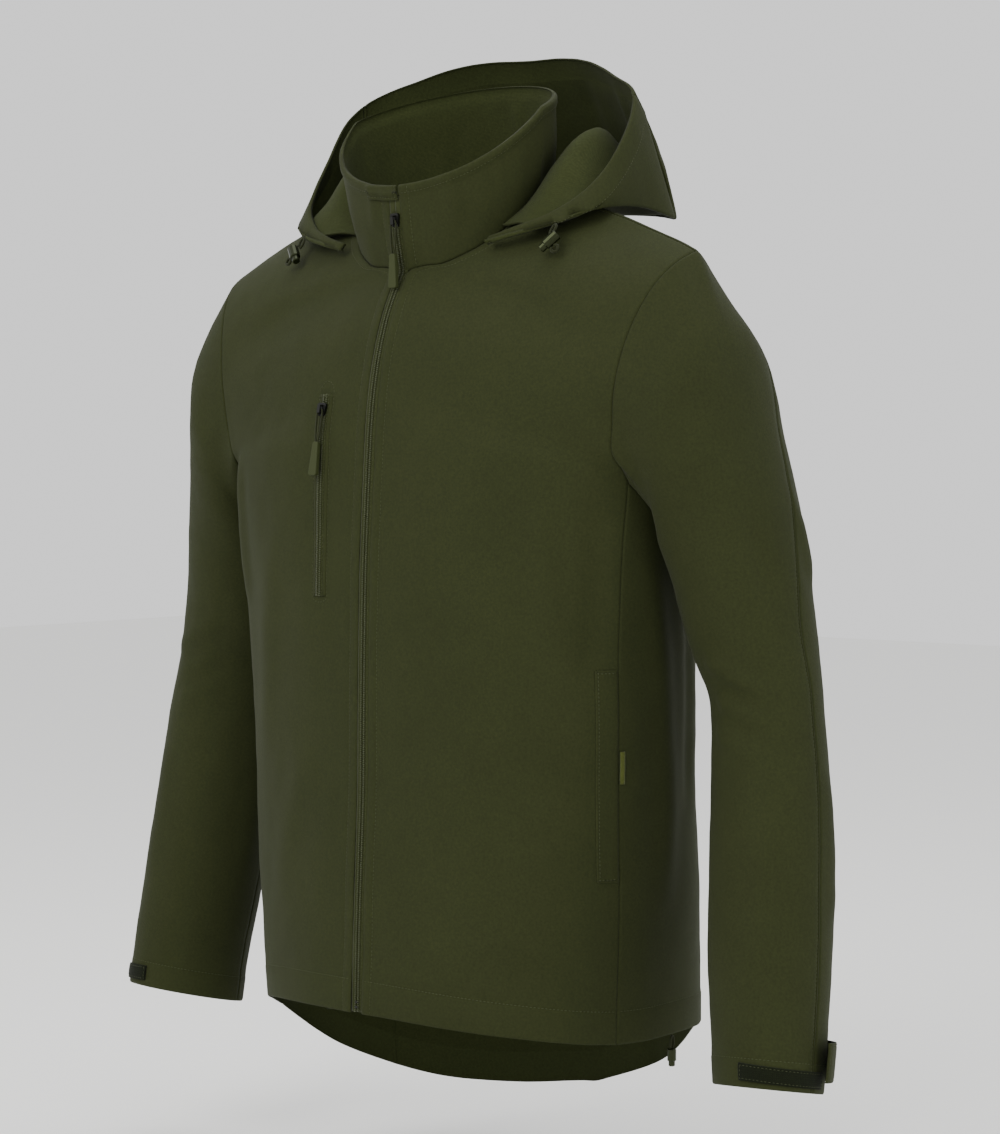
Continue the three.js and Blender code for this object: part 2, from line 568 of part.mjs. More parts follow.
// Cuffs: a strip of loop fastener round the front and outside, and the tab that closes on it
const loopPatch = { fromAngle: -8, toAngle: 88, topZ: -706, bottomZ: -719, wall: 1.2, lift: 0.4, columns: 9 };
const cuffTab = { fromAngle: -66, toAngle: 4, topZ: -683, bottomZ: -713, wall: 2.2, lift: -0.5, standOff: 11, columns: 6 };
function cuffPoint(angle, z) {
  const read = (column) => readTable(sleeveRings, 'z', column, z);
  const a = read('wide') * Math.cos((angle - read('swing')) * rad);
  const b = read('deep') * Math.sin((angle - read('swing')) * rad);
  const out = a * Math.cos(read('swing') * rad) - b * Math.sin(read('swing') * rad);
  const fore = a * Math.sin(read('swing') * rad) + b * Math.cos(read('swing') * rad);
  return vec(read('x') + out, read('y') - fore, z + fore * Math.sin(read('rise') * rad));
}
function cuffGrid(piece, rows) {
  return Array.from({ length: rows + 1 }, (unused, i) => {
    const z = mix(piece.topZ, piece.bottomZ, i / rows);
    return Array.from({ length: piece.columns + 1 }, (none, j) => {
      const t = j / piece.columns;
      const p = cuffPoint(mix(piece.fromAngle, piece.toAngle, t), z);
      const away = vec(p.x - 320, p.y + 10, 0).normalize();
      return p.addScaledVector(away, (piece.standOff || 0) * t ** 1.5);
    });
  });
}
for (const [side, sign] of [['left', 1], ['right', -1]]) {
  for (const [name, piece, finish] of [['cuff_loop', loopPatch, darkLoop], ['cuff_tab', cuffTab, oliveCloth]]) {
    const grid = cuffGrid(piece, 2).map((row) => row.map((p) => vec(p.x * sign, p.y, p.z)));
    const flip = sign > 0;
    add(`${name}_${side}`, wallGeometry(layOn(grid, piece.lift + piece.wall, flip), piece.wall, flip), finish);
  }
}

// Hard pieces. Solids are joined by way of the boolean library.
const wasm = await Module();
wasm.setup();
function solidOf(geometry) {
  const bare = geometry.clone();
  bare.deleteAttribute('normal');
  bare.deleteAttribute('uv');
  const merged = mergeVertices(bare, 1e-4);
  return new wasm.Manifold(new wasm.Mesh({
    numProp: 3,
    vertProperties: Float32Array.from(merged.attributes.position.array),
    triVerts: Uint32Array.from(merged.index.array),
  }));
}
function joined(...geometries) {
  const mesh = geometries.map(solidOf).reduce((a, b) => a.add(b)).getMesh();
  const geometry = new THREE.BufferGeometry();
  geometry.setAttribute('position', new THREE.BufferAttribute(mesh.vertProperties, 3));
  geometry.setIndex(new THREE.BufferAttribute(mesh.triVerts, 1));
  geometry.computeVertexNormals();
  return geometry;
}

// A rounded bar outline in x and z, its top at 0, wider at the foot where asked
function barShape(topWidth, footWidth, length, corner) {
  const a = topWidth / 2;
  const b = footWidth / 2;
  const shape = new THREE.Shape();
  shape.moveTo(-a + corner, 0);
  shape.lineTo(a - corner, 0);
  shape.quadraticCurveTo(a, 0, a, -corner);
  shape.lineTo(b, -length + corner);
  shape.quadraticCurveTo(b, -length, b - corner, -length);
  shape.lineTo(-b + corner, -length);
  shape.quadraticCurveTo(-b, -length, -b, -length + corner);
  shape.lineTo(-a, -corner);
  shape.quadraticCurveTo(-a, 0, -a + corner, 0);
  return shape;
}
// Extruded in depth, from the cloth outwards: local x and z in the plane, -y outwards
function plate(shape, backDepth, frontDepth, bevel = 0) {
  const geometry = new THREE.ExtrudeGeometry(shape, {
    depth: frontDepth - backDepth - 2 * bevel,
    bevelEnabled: bevel > 0,
    bevelThickness: bevel,
    bevelSize: bevel,
    bevelOffset: -bevel,
    bevelSegments: 2,
    curveSegments: 4,
  });
  geometry.translate(0, 0, backDepth + bevel);
  geometry.rotateX(Math.PI / 2);
  return geometry;
}

// Slider: a waisted plate with a bridge for the pull cord. Its place is the foot of the bridge.
const slider = { width: 9, length: 11, back: 0.5, front: 2.6, bridgeFront: 6.2, bridgeLength: 8, bridgeWidth: 3 };
function sliderGeometry() {
  const face = plate(barShape(slider.width, slider.width * 0.8, slider.length, 2.4), slider.back, slider.front);
  face.translate(0, 0, slider.length * 0.5);
  const arch = new THREE.Shape();
  arch.moveTo(-slider.bridgeLength / 2, slider.front - 0.6);
  arch.lineTo(slider.bridgeLength / 2, slider.front - 0.6);
  arch.lineTo(slider.bridgeLength / 2 - 0.8, slider.bridgeFront);
  arch.lineTo(-slider.bridgeLength / 2 + 0.8, slider.bridgeFront);
  const hole = new THREE.Path();
  const holeHalf = slider.bridgeLength / 2 - 1.6;
  hole.moveTo(-holeHalf, slider.front + 0.1);
  hole.lineTo(-holeHalf, slider.bridgeFront - 1.1);
  hole.lineTo(holeHalf, slider.bridgeFront - 1.1);
  hole.lineTo(holeHalf, slider.front + 0.1);
  arch.holes.push(hole);
  const bridge = new THREE.ExtrudeGeometry(arch, { depth: slider.bridgeWidth, bevelEnabled: false });
  bridge.translate(0, 0, -slider.bridgeWidth / 2);
  bridge.rotateY(-Math.PI / 2);
  bridge.rotateZ(Math.PI);
  return { face, bridge };
}

// Pull: a doubled cord through the bridge, and a moulded end
const pull = { cord: 1.6, spread: 2.7, drop: 27, moulded: 28, topWidth: 6, footWidth: 8.5, thick: 4.4, sides: 7 };
const circle = (radius, sides) => {
  const shape = new THREE.Shape();
  for (let i = 0; i < sides; i += 1) {
    const a = (2 * Math.PI * i) / sides;
    if (i === 0) shape.moveTo(radius, 0);
    else shape.lineTo(radius * Math.cos(a), radius * Math.sin(a));
  }
  return shape;
};
function tube(points, diameter, steps, sides = 8) {
  const path = new THREE.CatmullRomCurve3(points, false, 'catmullrom', 0.5);
  return new THREE.ExtrudeGeometry(circle(diameter / 2, sides), { steps, extrudePath: path });
}
function pullPieces(name, place) {
  const half = pull.spread;
  const foot = pull.cord / 2 + 0.3;
  const up = [vec(foot, 0, -pull.drop + 0.3), vec(half * 0.8, 0, -pull.drop * 0.75), vec(half, 0, -pull.drop * 0.4),
    vec(half, 0, -4), vec(half * 0.85, 0, -1), vec(half * 0.35, 0, 0)];
  const down = [...up].reverse().map((p) => vec(-p.x, p.y, p.z));
  add(`${name}_pull_cord`, tube([...up, ...down], pull.cord, 24, pull.sides), oliveCord, place);
  const end = plate(barShape(pull.topWidth, pull.footWidth, pull.moulded, 2.2), -pull.thick / 2, pull.thick / 2, 0.9);
  end.translate(0, 0, -pull.drop);
  add(`${name}_pull`, end, oliveTrim, place);
}

// The two sliders. The bridge hole is the pull's hinge.
const holeDepth = (slider.front + slider.bridgeFront - 1) / 2;
const sliderPlaces = [
  { name: 'front', x: 0, z: -46, surface: (z) => centreY(z) + tapeRecess, lean: 0 },
  { name: 'chest', x: -55, z: -200, surface: (z) => frontAt(-55, z).y - chestZip.lift - chestZip.wall, lean: 9 },
];
for (const at of sliderPlaces) {
  const place = new THREE.Group();
  const slope = Math.atan2(at.surface(at.z - 6) - at.surface(at.z + 6), 12);
  place.position.set(at.x, at.surface(at.z), at.z);
  place.rotation.x = slope;
  const { face, bridge } = sliderGeometry();
  add(`${at.name}_zip_slider`, joined(face, bridge), darkMetal, place);
  const hang = new THREE.Group();
  hang.position.set(0, -holeDepth, 0);
  hang.rotation.x = -at.lean * rad - slope;
  pullPieces(at.name, hang);
  place.add(hang);
  jacket.add(place);
}

// Cord locks: a barrel with a short plunger, and the cord's own loop
const lock = { radius: 4.6, length: 13, plungerRadius: 3.3, plunger: 5 };
function lockGeometry(scale) {
  const r = lock.radius * scale;
  const l = lock.length * scale;
  const q = lock.plungerRadius * scale;
  const profile = [[0, 0], [r - 0.8, 0], [r, 0.8], [r, l - 0.8], [r - 0.8, l], [q, l], [q, l + lock.plunger * scale - 0.6],
    [q - 0.6, l + lock.plunger * scale], [0, l + lock.plunger * scale]];
  return new THREE.LatheGeometry(profile.map(([x, y]) => new THREE.Vector2(x, y)), 12);
}
const hoodLock = { x: 139, y: -55, z: -68, cord: 2.4, hemX: 137, hemY: -45, hemZ: -54 };
const hemLock = { angle: 93, inside: { left: 2.3, right: 7.9 }, below: 13, scale: 0.8, cord: 2 };
// A loop of cord that starts and ends at the barrel's side and goes off in one direction
function cordLoop(name, centre, side, away, start, reach, spread, diameter) {
  const at = (out, across) => centre.clone().addScaledVector(away, out).addScaledVector(side, across);
  const half = diameter / 2 + 0.25;
  add(name, tube([at(start, half), at(mix(start, reach, 0.5), spread), at(reach, spread * 0.7), at(reach + 1.5, 0),
    at(reach, -spread * 0.7), at(mix(start, reach, 0.5), -spread), at(start, -half)], diameter, 14, 7), oliveCord);
}
for (const [side, sign] of [['left', 1], ['right', -1]]) {
  const centre = vec(hoodLock.x * sign, hoodLock.y, hoodLock.z);
  const axis = vec(-0.62 * sign, -0.4, -0.67).normalize();
  const barrel = add(`hood_cord_lock_${side}`, lockGeometry(1), darkMetal);
  barrel.position.copy(centre.clone().addScaledVector(axis, -9));
  barrel.quaternion.setFromUnitVectors(vec(0, 1, 0), axis);
  const up = vec(0, 0.35, 0.94).cross(axis).cross(axis).normalize();
  if (up.z < 0) up.negate();
  const toHem = vec(hoodLock.hemX * sign, hoodLock.hemY, hoodLock.hemZ).sub(centre);
  const hemReach = toHem.length() - 1.5 - hoodLock.cord / 2 + 1;
  cordLoop(`hood_cord_${side}`, centre, axis, toHem.normalize(), lock.radius + 3.4, hemReach, 3, hoodLock.cord);
  cordLoop(`hood_cord_tail_${side}`, centre, axis, up.clone().negate(), lock.radius + 0.8, 10, 3, hoodLock.cord);

  const hemEdge = bodyPoint(hemLock.angle * sign, hemZ(hemLock.angle));
  const hemCentre = hemEdge.clone().sub(vec(hemLock.inside[side] * sign, 0, hemLock.below));
  const hemBarrel = add(`hem_cord_lock_${side}`, lockGeometry(hemLock.scale), darkMetal);
  hemBarrel.position.copy(hemCentre);
  hemBarrel.quaternion.setFromUnitVectors(vec(0, 1, 0), vec(0, 0, -1));
  cordLoop(`hem_cord_${side}`, hemCentre, vec(0, 1, 0), vec(0, 0, 1), 0.4, 9, 2.4, hemLock.cord);
}

export default jacket;
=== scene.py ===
import math
import bpy
import numpy as np
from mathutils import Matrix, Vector, kdtree, noise


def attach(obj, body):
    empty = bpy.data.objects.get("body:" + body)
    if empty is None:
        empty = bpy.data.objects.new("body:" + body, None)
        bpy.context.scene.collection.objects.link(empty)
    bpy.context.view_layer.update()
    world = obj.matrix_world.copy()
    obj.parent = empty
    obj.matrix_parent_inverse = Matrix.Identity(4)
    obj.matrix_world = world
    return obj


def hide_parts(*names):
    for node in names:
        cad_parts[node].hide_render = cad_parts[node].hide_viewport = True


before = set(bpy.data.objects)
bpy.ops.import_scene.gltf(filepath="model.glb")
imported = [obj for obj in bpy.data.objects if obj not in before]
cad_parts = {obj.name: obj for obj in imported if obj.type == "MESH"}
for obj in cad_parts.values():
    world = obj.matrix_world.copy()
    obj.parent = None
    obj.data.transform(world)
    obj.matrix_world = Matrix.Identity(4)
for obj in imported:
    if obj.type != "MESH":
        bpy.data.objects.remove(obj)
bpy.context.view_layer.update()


# Shape tables in millimetres, the same as the solids'
def table(columns, rows):
    names = columns.split()
    return [dict(zip(names, row)) for row in rows]


neckRing = dict(half=90, frontY=-73, sideY=-6, backY=61, frontZ=-88, sideZ=-24, backZ=0)
collarRing = dict(half=103, frontY=-84, sideY=-18, backY=48, frontZ=-18, sideZ=44, backZ=72)
bodyRings = table("z half front side back square", [
    (-205, 224, -112, 2, 119, 2.5), (-258, 220, -115, 4, 122, 2.5), (-300, 215, -118, 6, 126, 2.45),
    (-350, 211, -120, 8, 131, 2.4), (-400, 208, -121, 10, 137, 2.35), (-460, 206, -122, 14, 142, 2.3),
    (-525, 205, -123, 16, 146, 2.25), (-600, 203, -127, 22, 160, 2.2), (-700, 196, -130, 28, 180, 2.1),
    (-800, 190, -132, 30, 186, 2.1)])
frontSeamAngle = 71
backSeamAngle = 118
frontRows = table("neckAngle midY midZ armX armY armZ turn", [
    (90, 0, 0, 244, 0, -76, 8), (68, 0, 0, 240, -24, -87, 24), (46, 0, 0, 233, -43, -105, 32),
    (24, 0, 0, 225, -56, -130, 38), (4, 0, 0, 218, -64, -158, 42), (None, -91, -122, 213, -67, -186, 46),
    (None, -103, -159, 210, -65, -213, 50), (None, -110, -196, 207, -61, -237, 54)])
backRows = table("midY midZ armX armY armZ turn", [
    (82, -32, 239, 24, -90, 34), (97, -68, 230, 46, -116, 40), (108, -108, 220, 60, -149, 44),
    (115, -150, 213, 67, -185, 48), (119, -190, 207, 67, -222, 52)])
chestLine = table("angle z", [(0, -232), (40, -243), (71, -258), (94, -288), (118, -254), (145, -238), (180, -228)])
hemLine = table("angle z", [
    (-180, -795), (-155, -805), (-130, -800), (-100, -768), (-71, -718), (-40, -695), (0, -688), (40, -697),
    (71, -706), (100, -705), (130, -716), (155, -762), (180, -795)])
sleeveRings = table("x y z wide deep tilt rise swing", [
    (249, 5, -214, 82, 69, 68, 0, 0), (259, 12, -262, 66, 63, 52, -4, 0), (271, 20, -318, 55, 56, 29, -5, 0),
    (281, 24, -375, 51, 50, 12, -3, 0), (294, 25, -430, 50, 42, 4, 2, 25), (302, 20, -500, 53, 46, 0, 6, 30),
    (310, 8, -600, 54, 48, -1, 9, 35), (317, -3, -670, 52, 46, 1, 11, 40), (321, -10, -725, 51, 42, 3, 12, 42)])
sleeveTwist = 58
hoodStations = table("rim fold belly neckAngle lift", [
    ((0, 108, 101), (0, 138, -30), 22, 180, 16), ((52, 98, 96), (65, 132, -34), 16, 155, 20),
    ((105, 70, 78), (125, 115, -38), 5, 129, 40), ((148, 44, 57), (166, 77, -44), 4, 108, 56),
    ((161, 14, 20), (170, 28, -38), 4, 90, 46), ((154, -18, -20), (164, -20, -41), 3, 76, 20),
    ((130, -39, -43), (137, -44, -53), 1, 63, 4), ((102, -53, -54), (105, -57, -61), 0, 54, 1),
    ((78, -58, -61), (79, -61, -67), 0, 47, 0)])
zipHalfOpening = 6.0
hoodClear = 3.1  # from the neck seam out to the edge of the hood's base
baseInset = 6.2  # the base starts this far inside the fold
neckRows = 8     # rows of the coarse front that lie on the neck
frontColumns = 8
neckColumns = 5
sideColumns = 5
lowerShares = [0, 0.1, 0.22, 0.35, 0.48, 0.61, 0.74, 0.87, 1]
mirrorX = np.array([-1.0, 1.0, 1.0])


def mix(a, b, t):
    return a + (b - a) * t


def unit(v):
    size = np.linalg.norm(v, axis=-1, keepdims=True)
    return v / np.where(size < 1e-12, 1, size)


def readTable(rows, key, column, at):
    last = len(rows) - 1
    rising = rows[last][key] > rows[0][key]
    i = 0
    while i < last - 1 and (at > rows[i + 1][key] if rising else at < rows[i + 1][key]):
        i += 1
    t = min(max((at - rows[i][key]) / (rows[i + 1][key] - rows[i][key]), 0), 1)
    p = [rows[min(max(i + k, 0), last)] for k in (-1, 0, 1, 2)]
    step = p[2][key] - p[1][key]
    slopes = []
    for a, b in ((p[0], p[2]), (p[1], p[3])):
        slopes.append((b[column] - a[column]) / ((b[key] - a[key]) or 1) * step)
    return ((2 * t**3 - 3 * t**2 + 1) * p[1][column] + (t**3 - 2 * t**2 + t) * slopes[0]
            + (3 * t**2 - 2 * t**3) * p[2][column] + (t**3 - t**2) * slopes[1])


# A smooth grid through a coarse one, with a number of steps for each interval
def refine(grid, steps, axis=0):
    grid = np.asarray(grid, float)
    if axis == 1:
        return refine(grid.swapaxes(0, 1), steps).swapaxes(0, 1)
    count = len(grid) - 1
    steps = [steps] * count if isinstance(steps, int) else steps
    out = []
    for i in range(count):
        before, a, b, after = grid[max(i - 1, 0)], grid[i], grid[i + 1], grid[min(i + 2, count)]
        leave, arrive = (b - before) / 2, (after - a) / 2
        for s in range(steps[i]):
            t = s / steps[i]
            out.append((2 * t**3 - 3 * t**2 + 1) * a + (t**3 - 2 * t**2 + t) * leave
                       + (3 * t**2 - 2 * t**3) * b + (t**3 - t**2) * arrive)
    out.append(grid[-1])
    return np.array(out)


# Length along a line up to each of its points
def lineLengths(points):
    return np.concatenate([[0], np.cumsum(np.linalg.norm(np.diff(points, axis=0), axis=1))])


def readLine(line, along, at):
    return np.stack([np.interp(at, along, line[:, k]) for k in range(3)], -1)


def evenly(points, count):
    points = np.asarray(points, float)
    along = lineLengths(points)
    return readLine(points, along, np.linspace(0, along[-1], count + 1))


def ovalPoint(ring, angle):
    c = math.cos(math.radians(angle))
    end = "front" if c > 0 else "back"
    return np.array([ring["half"] * math.sin(math.radians(angle)), mix(ring["sideY"], ring[end + "Y"], abs(c)),
                     mix(ring["sideZ"], ring[end + "Z"], abs(c))])


def bodyPoint(angle, z):
    columns = ("half", "front", "side", "back", "square")
    half, front, side, back, square = (readTable(bodyRings, "z", c, z) for c in columns)
    s, c = math.sin(math.radians(angle)), math.cos(math.radians(angle))
    depth = side - front if c > 0 else back - side
    power = 2 / square
    return np.array([half * math.copysign(abs(s) ** power, s), side - math.copysign(depth * abs(c) ** power, c), z])


def lowerRow(fromAngle, toAngle, share, count):
    fine = []
    for i in range(49):
        angle = mix(fromAngle, toAngle, i / 48)
        top = readTable(chestLine, "angle", "z", abs(angle))
        fine.append(bodyPoint(angle, mix(top, readTable(hemLine, "angle", "z", angle), share)))
    return evenly(fine, count)


def bowedRow(start, end, turn, count):
    a = math.radians(turn) * np.linspace(0, 1, 41)
    along = np.sin(a) / math.sin(math.radians(turn))
    back = (1 - np.cos(a)) / (1 - math.cos(math.radians(turn)))
    fine = np.stack([mix(start[0], end[0], along), mix(start[1], end[1], back),
                     mix(start[2], end[2], (along + back) / 2)], -1)
    return evenly(fine, count)


def frontGrid(sign):
    rows = []
    for row in frontRows:
        onNeck = row["neckAngle"] is not None
        inner = ovalPoint(neckRing, row["neckAngle"]) if onNeck else np.array([0.0, row["midY"], row["midZ"]])
        if not onNeck or row["neckAngle"] < 5:
            inner[0] = zipHalfOpening
        rows.append(bowedRow(inner, (row["armX"], row["armY"], row["armZ"]), row["turn"], frontColumns))
    lower = []
    for share in lowerShares:
        line = lowerRow(1.2 * sign, frontSeamAngle * sign, share, frontColumns)
        line[:, 0] = abs(line[:, 0])
        line[0, 0] = zipHalfOpening
        lower.append(line)
    upper = refine(rows + lower[:2], 2)[:len(rows) * 2]
    upper[neckRows:, 0, 0] = zipHalfOpening
    return np.concatenate([upper, np.array(lower)]) * [sign, 1, 1]


def sideGrid(sign):
    return np.array([lowerRow(frontSeamAngle * sign, backSeamAngle * sign, share, sideColumns)
                     for share in lowerShares])


def backGrid():
    columns = frontColumns + neckColumns
    nape = [ovalPoint(neckRing, 90 + 90 * i / neckColumns) for i in range(1, neckColumns + 1)]
    both = lambda half: np.concatenate([half, half[:-1][::-1] * mirrorX])
    top = both(np.concatenate([frontGrid(1)[0][::-1], nape]))
    rows = []
    for row in backRows:
        armEnd = (row["armX"], -row["armY"], row["armZ"])
        half = bowedRow((0, -row["midY"], row["midZ"]), armEnd, row["turn"], columns)
        rows.append(both((half * [1, -1, 1])[::-1]))
    lower = [np.concatenate([lowerRow(backSeamAngle, 180, share, columns),
                             lowerRow(-180, -backSeamAngle, share, columns)[1:]]) for share in lowerShares]
    upper = refine([top] + rows + lower[:2], 2)[:(len(rows) + 1) * 2]
    return np.concatenate([upper, np.array(lower)])


coarse = {"front_left": frontGrid(1), "front_right": frontGrid(-1), "side_left": sideGrid(1),
          "side_right": sideGrid(-1), "back": backGrid()}
armRowsFront = len(frontRows) * 2
armRowsBack = (len(backRows) + 1) * 2
elbowColumn = armRowsFront + sideColumns + round(armRowsBack * 0.55)

# Fine body grids: the upper rows match the sleeve's columns one for one
upperSteps, lowerSteps, acrossSteps = 4, 9, 6
fine = {}
for name, grid in coarse.items():
    upperRows = len(grid) - len(lowerShares)
    rowSteps = [upperSteps] * upperRows + [lowerSteps] * (len(lowerShares) - 1)
    fine[name] = refine(refine(grid, rowSteps), acrossSteps, axis=1)
lowerCount = lowerSteps * (len(lowerShares) - 1) + 1
fine["side_left"][:, 0] = fine["front_left"][-lowerCount:, -1]
fine["side_right"][:, 0] = fine["front_right"][-lowerCount:, -1]
fine["side_left"][:, -1] = fine["back"][-lowerCount:, 0]
fine["side_right"][:, -1] = fine["back"][-lowerCount:, -1]
shoulder = frontColumns * acrossSteps
fine["back"][0, :shoulder + 1] = fine["front_left"][0][::-1]
fine["back"][0, -shoulder - 1:] = fine["front_right"][0]


def sleeveWhole():
    down = coarse["front_left"][:armRowsFront + 1, frontColumns]
    under = coarse["side_left"][0][1:]
    up = coarse["back"][:armRowsBack, 0][::-1]
    loop = np.concatenate([down, under, up])
    along = lineLengths(loop)
    share = along / along[-1]
    rings = []
    for r, ring in enumerate(sleeveRings):
        tilt, rise, swing = (math.radians(ring[c]) for c in ("tilt", "rise", "swing"))
        angle = np.radians(share * 360 + sleeveTwist * min(1, (r + 1) / 4)) - swing
        a, b = ring["wide"] * np.cos(angle), ring["deep"] * np.sin(angle)
        out = a * math.cos(swing) - b * math.sin(swing)
        fore = a * math.sin(swing) + b * math.cos(swing)
        rings.append(np.array([ring["x"], ring["y"], ring["z"]]) + np.outer(out, [math.cos(tilt), 0, math.sin(tilt)])
                     + np.outer(fore, [0, -math.cos(rise), math.sin(rise)]))
    whole = np.concatenate([refine([loop] + rings[:6], 2)[:10], rings[4:]])
    rowSteps = [5] * 10 + [13] * (len(whole) - 11)
    columnSteps = [upperSteps] * armRowsFront + [acrossSteps] * sideColumns + [upperSteps] * armRowsBack
    padded = np.concatenate([whole[:, -2:-1], whole, whole[:, 1:2]], axis=1)
    out = refine(refine(padded, [1] + columnSteps + [1], axis=1)[:, 1:-1], rowSteps)
    backEdge = fine["back"][:armRowsBack * upperSteps + 1, 0][::-1]
    frontEdge = fine["front_left"][:armRowsFront * upperSteps + 1, -1]
    out[0] = np.concatenate([frontEdge, fine["side_left"][0][1:], backEdge[1:]])
    return out, columnSteps


sleeve, sleeveSteps = sleeveWhole()
cornerAt = sum(sleeveSteps[:armRowsFront])
elbowAt = sum(sleeveSteps[:elbowColumn])
for side, sign in (("left", 1), ("right", -1)):
    under, top = sleeve[:, cornerAt:elbowAt + 1], [sleeve[:, elbowAt:-1], sleeve[:, :cornerAt + 1]]
    fine["under_sleeve_" + side] = under * [sign, 1, 1]
    fine["top_sleeve_" + side] = np.concatenate(top, axis=1) * [sign, 1, 1]


def collarFine():
    neckCount = neckRows * upperSteps
    left = fine["front_left"][:neckCount + 1, 0][::-1]
    nape = fine["back"][0][shoulder + 1:-shoulder - 1]
    base = np.concatenate([left, nape, left[::-1] * mirrorX])
    rise = np.where(base[:, 1] < neckRing["sideY"], neckRing["sideY"] - neckRing["frontY"],
                    neckRing["backY"] - neckRing["sideY"])
    angles = np.degrees(np.arctan2(base[:, 0] / neckRing["half"], -(base[:, 1] - neckRing["sideY"]) / rise))
    top = np.array([ovalPoint(collarRing, a) for a in angles])
    top[0, 0], top[-1, 0] = zipHalfOpening, -zipHalfOpening
    belly = mix(base, top, 0.45) * [1.02, 1.02, 1]
    belly[0, 0], belly[-1, 0] = base[0, 0], base[-1, 0]
    return refine([base, belly, top], 18)


fine["collar"] = collarFine()


hoodSteps = 12     # fine columns from one station to the next
sideStations = 3   # stations from the middle to the seam of the side panel
baseTrim = 21      # columns left off at each end, where the hood is too low to cover a base


def hoodCurve(read):
    half = [np.array(read(s), float) for s in hoodStations]
    return refine([p * mirrorX for p in half[:0:-1]] + half, hoodSteps)


def hoodOut(s):
    return unit(np.array([s["fold"][0], s["fold"][1] - 30.0, 0.0]))


def hoodLevel(share, fullness):
    return hoodCurve(lambda s: mix(np.array(s["rim"]), np.array(s["fold"]), share) + hoodOut(s) * s["belly"] * fullness)


def baseLevel(share, lift):
    def read(s):
        p = ovalPoint(neckRing, s["neckAngle"])
        away = unit(np.array([p[0], p[1] - neckRing["sideY"], 0]))
        neck = p + away * hoodClear + [0, 0, hoodClear * 0.6]
        return mix(np.array(s["fold"]) - hoodOut(s) * baseInset, neck, share) + [0, 0, s["lift"] * lift]
    return hoodCurve(read)


hood = refine([hoodLevel(0, 0), hoodLevel(0.33, 0.8), hoodLevel(0.68, 1), hoodLevel(1, 0)], 14)
split = hoodSteps * sideStations
middle = hoodSteps * (len(hoodStations) - 1)
fine["hood_side_right"] = hood[:, :middle - split + 1]
fine["hood_centre"] = hood[:, middle - split:middle + split + 1]
fine["hood_side_left"] = hood[:, middle + split:]
base = refine([baseLevel(0, 0), baseLevel(0.3, 0.55), baseLevel(0.6, 1), baseLevel(0.85, 0.5), baseLevel(1, 0)], 8)
fine["hood_base"] = base[:, baseTrim:-baseTrim]
# The rim stands a little higher on the wearer's right
hoodLift = dict(height=10, inner=-5, outer=-95, foot=10, top=45)
for name in ("hood_centre", "hood_side_left", "hood_side_right"):
    lifted = fine[name].copy()
    across = np.clip((hoodLift["inner"] - lifted[..., 0]) / (hoodLift["inner"] - hoodLift["outer"]), 0, 1)
    up = np.clip((lifted[..., 2] - hoodLift["foot"]) / (hoodLift["top"] - hoodLift["foot"]), 0, 1)
    lifted[..., 2] += hoodLift["height"] * across ** 2 * (3 - 2 * across) * up ** 2 * (3 - 2 * up)
    fine[name] = lifted
print("grids ready")


# How each cloth piece is finished at its edges, in mm from the edge. A seam rolls in;
# a hem and a folded edge are double up to their stitch line.
seam = dict(roll=0.9, stitch=())
topSeam = dict(roll=0.9, stitch=(3.2,))
hem = dict(roll=0.6, stitch=(27,), double=27)
cuffHem = dict(roll=0.6, stitch=(22,), double=22)
zipFacing = dict(roll=0.7, stitch=(9,), double=9)
collarEdge = dict(roll=1.6, stitch=(7,), double=7, thick=1.5)
hoodEdge = dict(roll=1.2, stitch=(20,), double=20, thick=1.2)
plain = dict(roll=0.1, stitch=())


def clothPiece(kind, flip, wall=1.7, top=seam, bottom=seam, left=seam, right=seam):
    return dict(kind=kind, flip=flip, wall=wall, top=top, bottom=bottom, left=left, right=right)


def trimPiece(flip, wall, edge, **others):
    return {**clothPiece(None, flip, wall, edge, edge, edge, edge), **others}


pieces = {
    "front_left": clothPiece("body", False, top=topSeam, bottom=hem, left=zipFacing),
    "front_right": clothPiece("body", True, top=topSeam, bottom=hem, left=zipFacing),
    "side_left": clothPiece("body", False, bottom=hem),
    "side_right": clothPiece("body", True, bottom=hem),
    "back": clothPiece("body", False, bottom=hem),
    "top_sleeve_left": clothPiece("sleeve", True, bottom=cuffHem, left=topSeam),
    "under_sleeve_left": clothPiece("sleeve", True, bottom=cuffHem),
    "top_sleeve_right": clothPiece("sleeve", False, bottom=cuffHem, left=topSeam),
    "under_sleeve_right": clothPiece("sleeve", False, bottom=cuffHem),
    "collar": clothPiece("collar", True, 2.6, bottom=collarEdge, left=zipFacing, right=zipFacing),
    "hood_side_right": clothPiece("hood", True, 2, top=hoodEdge, right=topSeam),
    "hood_centre": clothPiece("hood", True, 2, top=hoodEdge),
    "hood_side_left": clothPiece("hood", True, 2, top=hoodEdge, left=topSeam),
    "hood_base": clothPiece("base", True, 2),
}

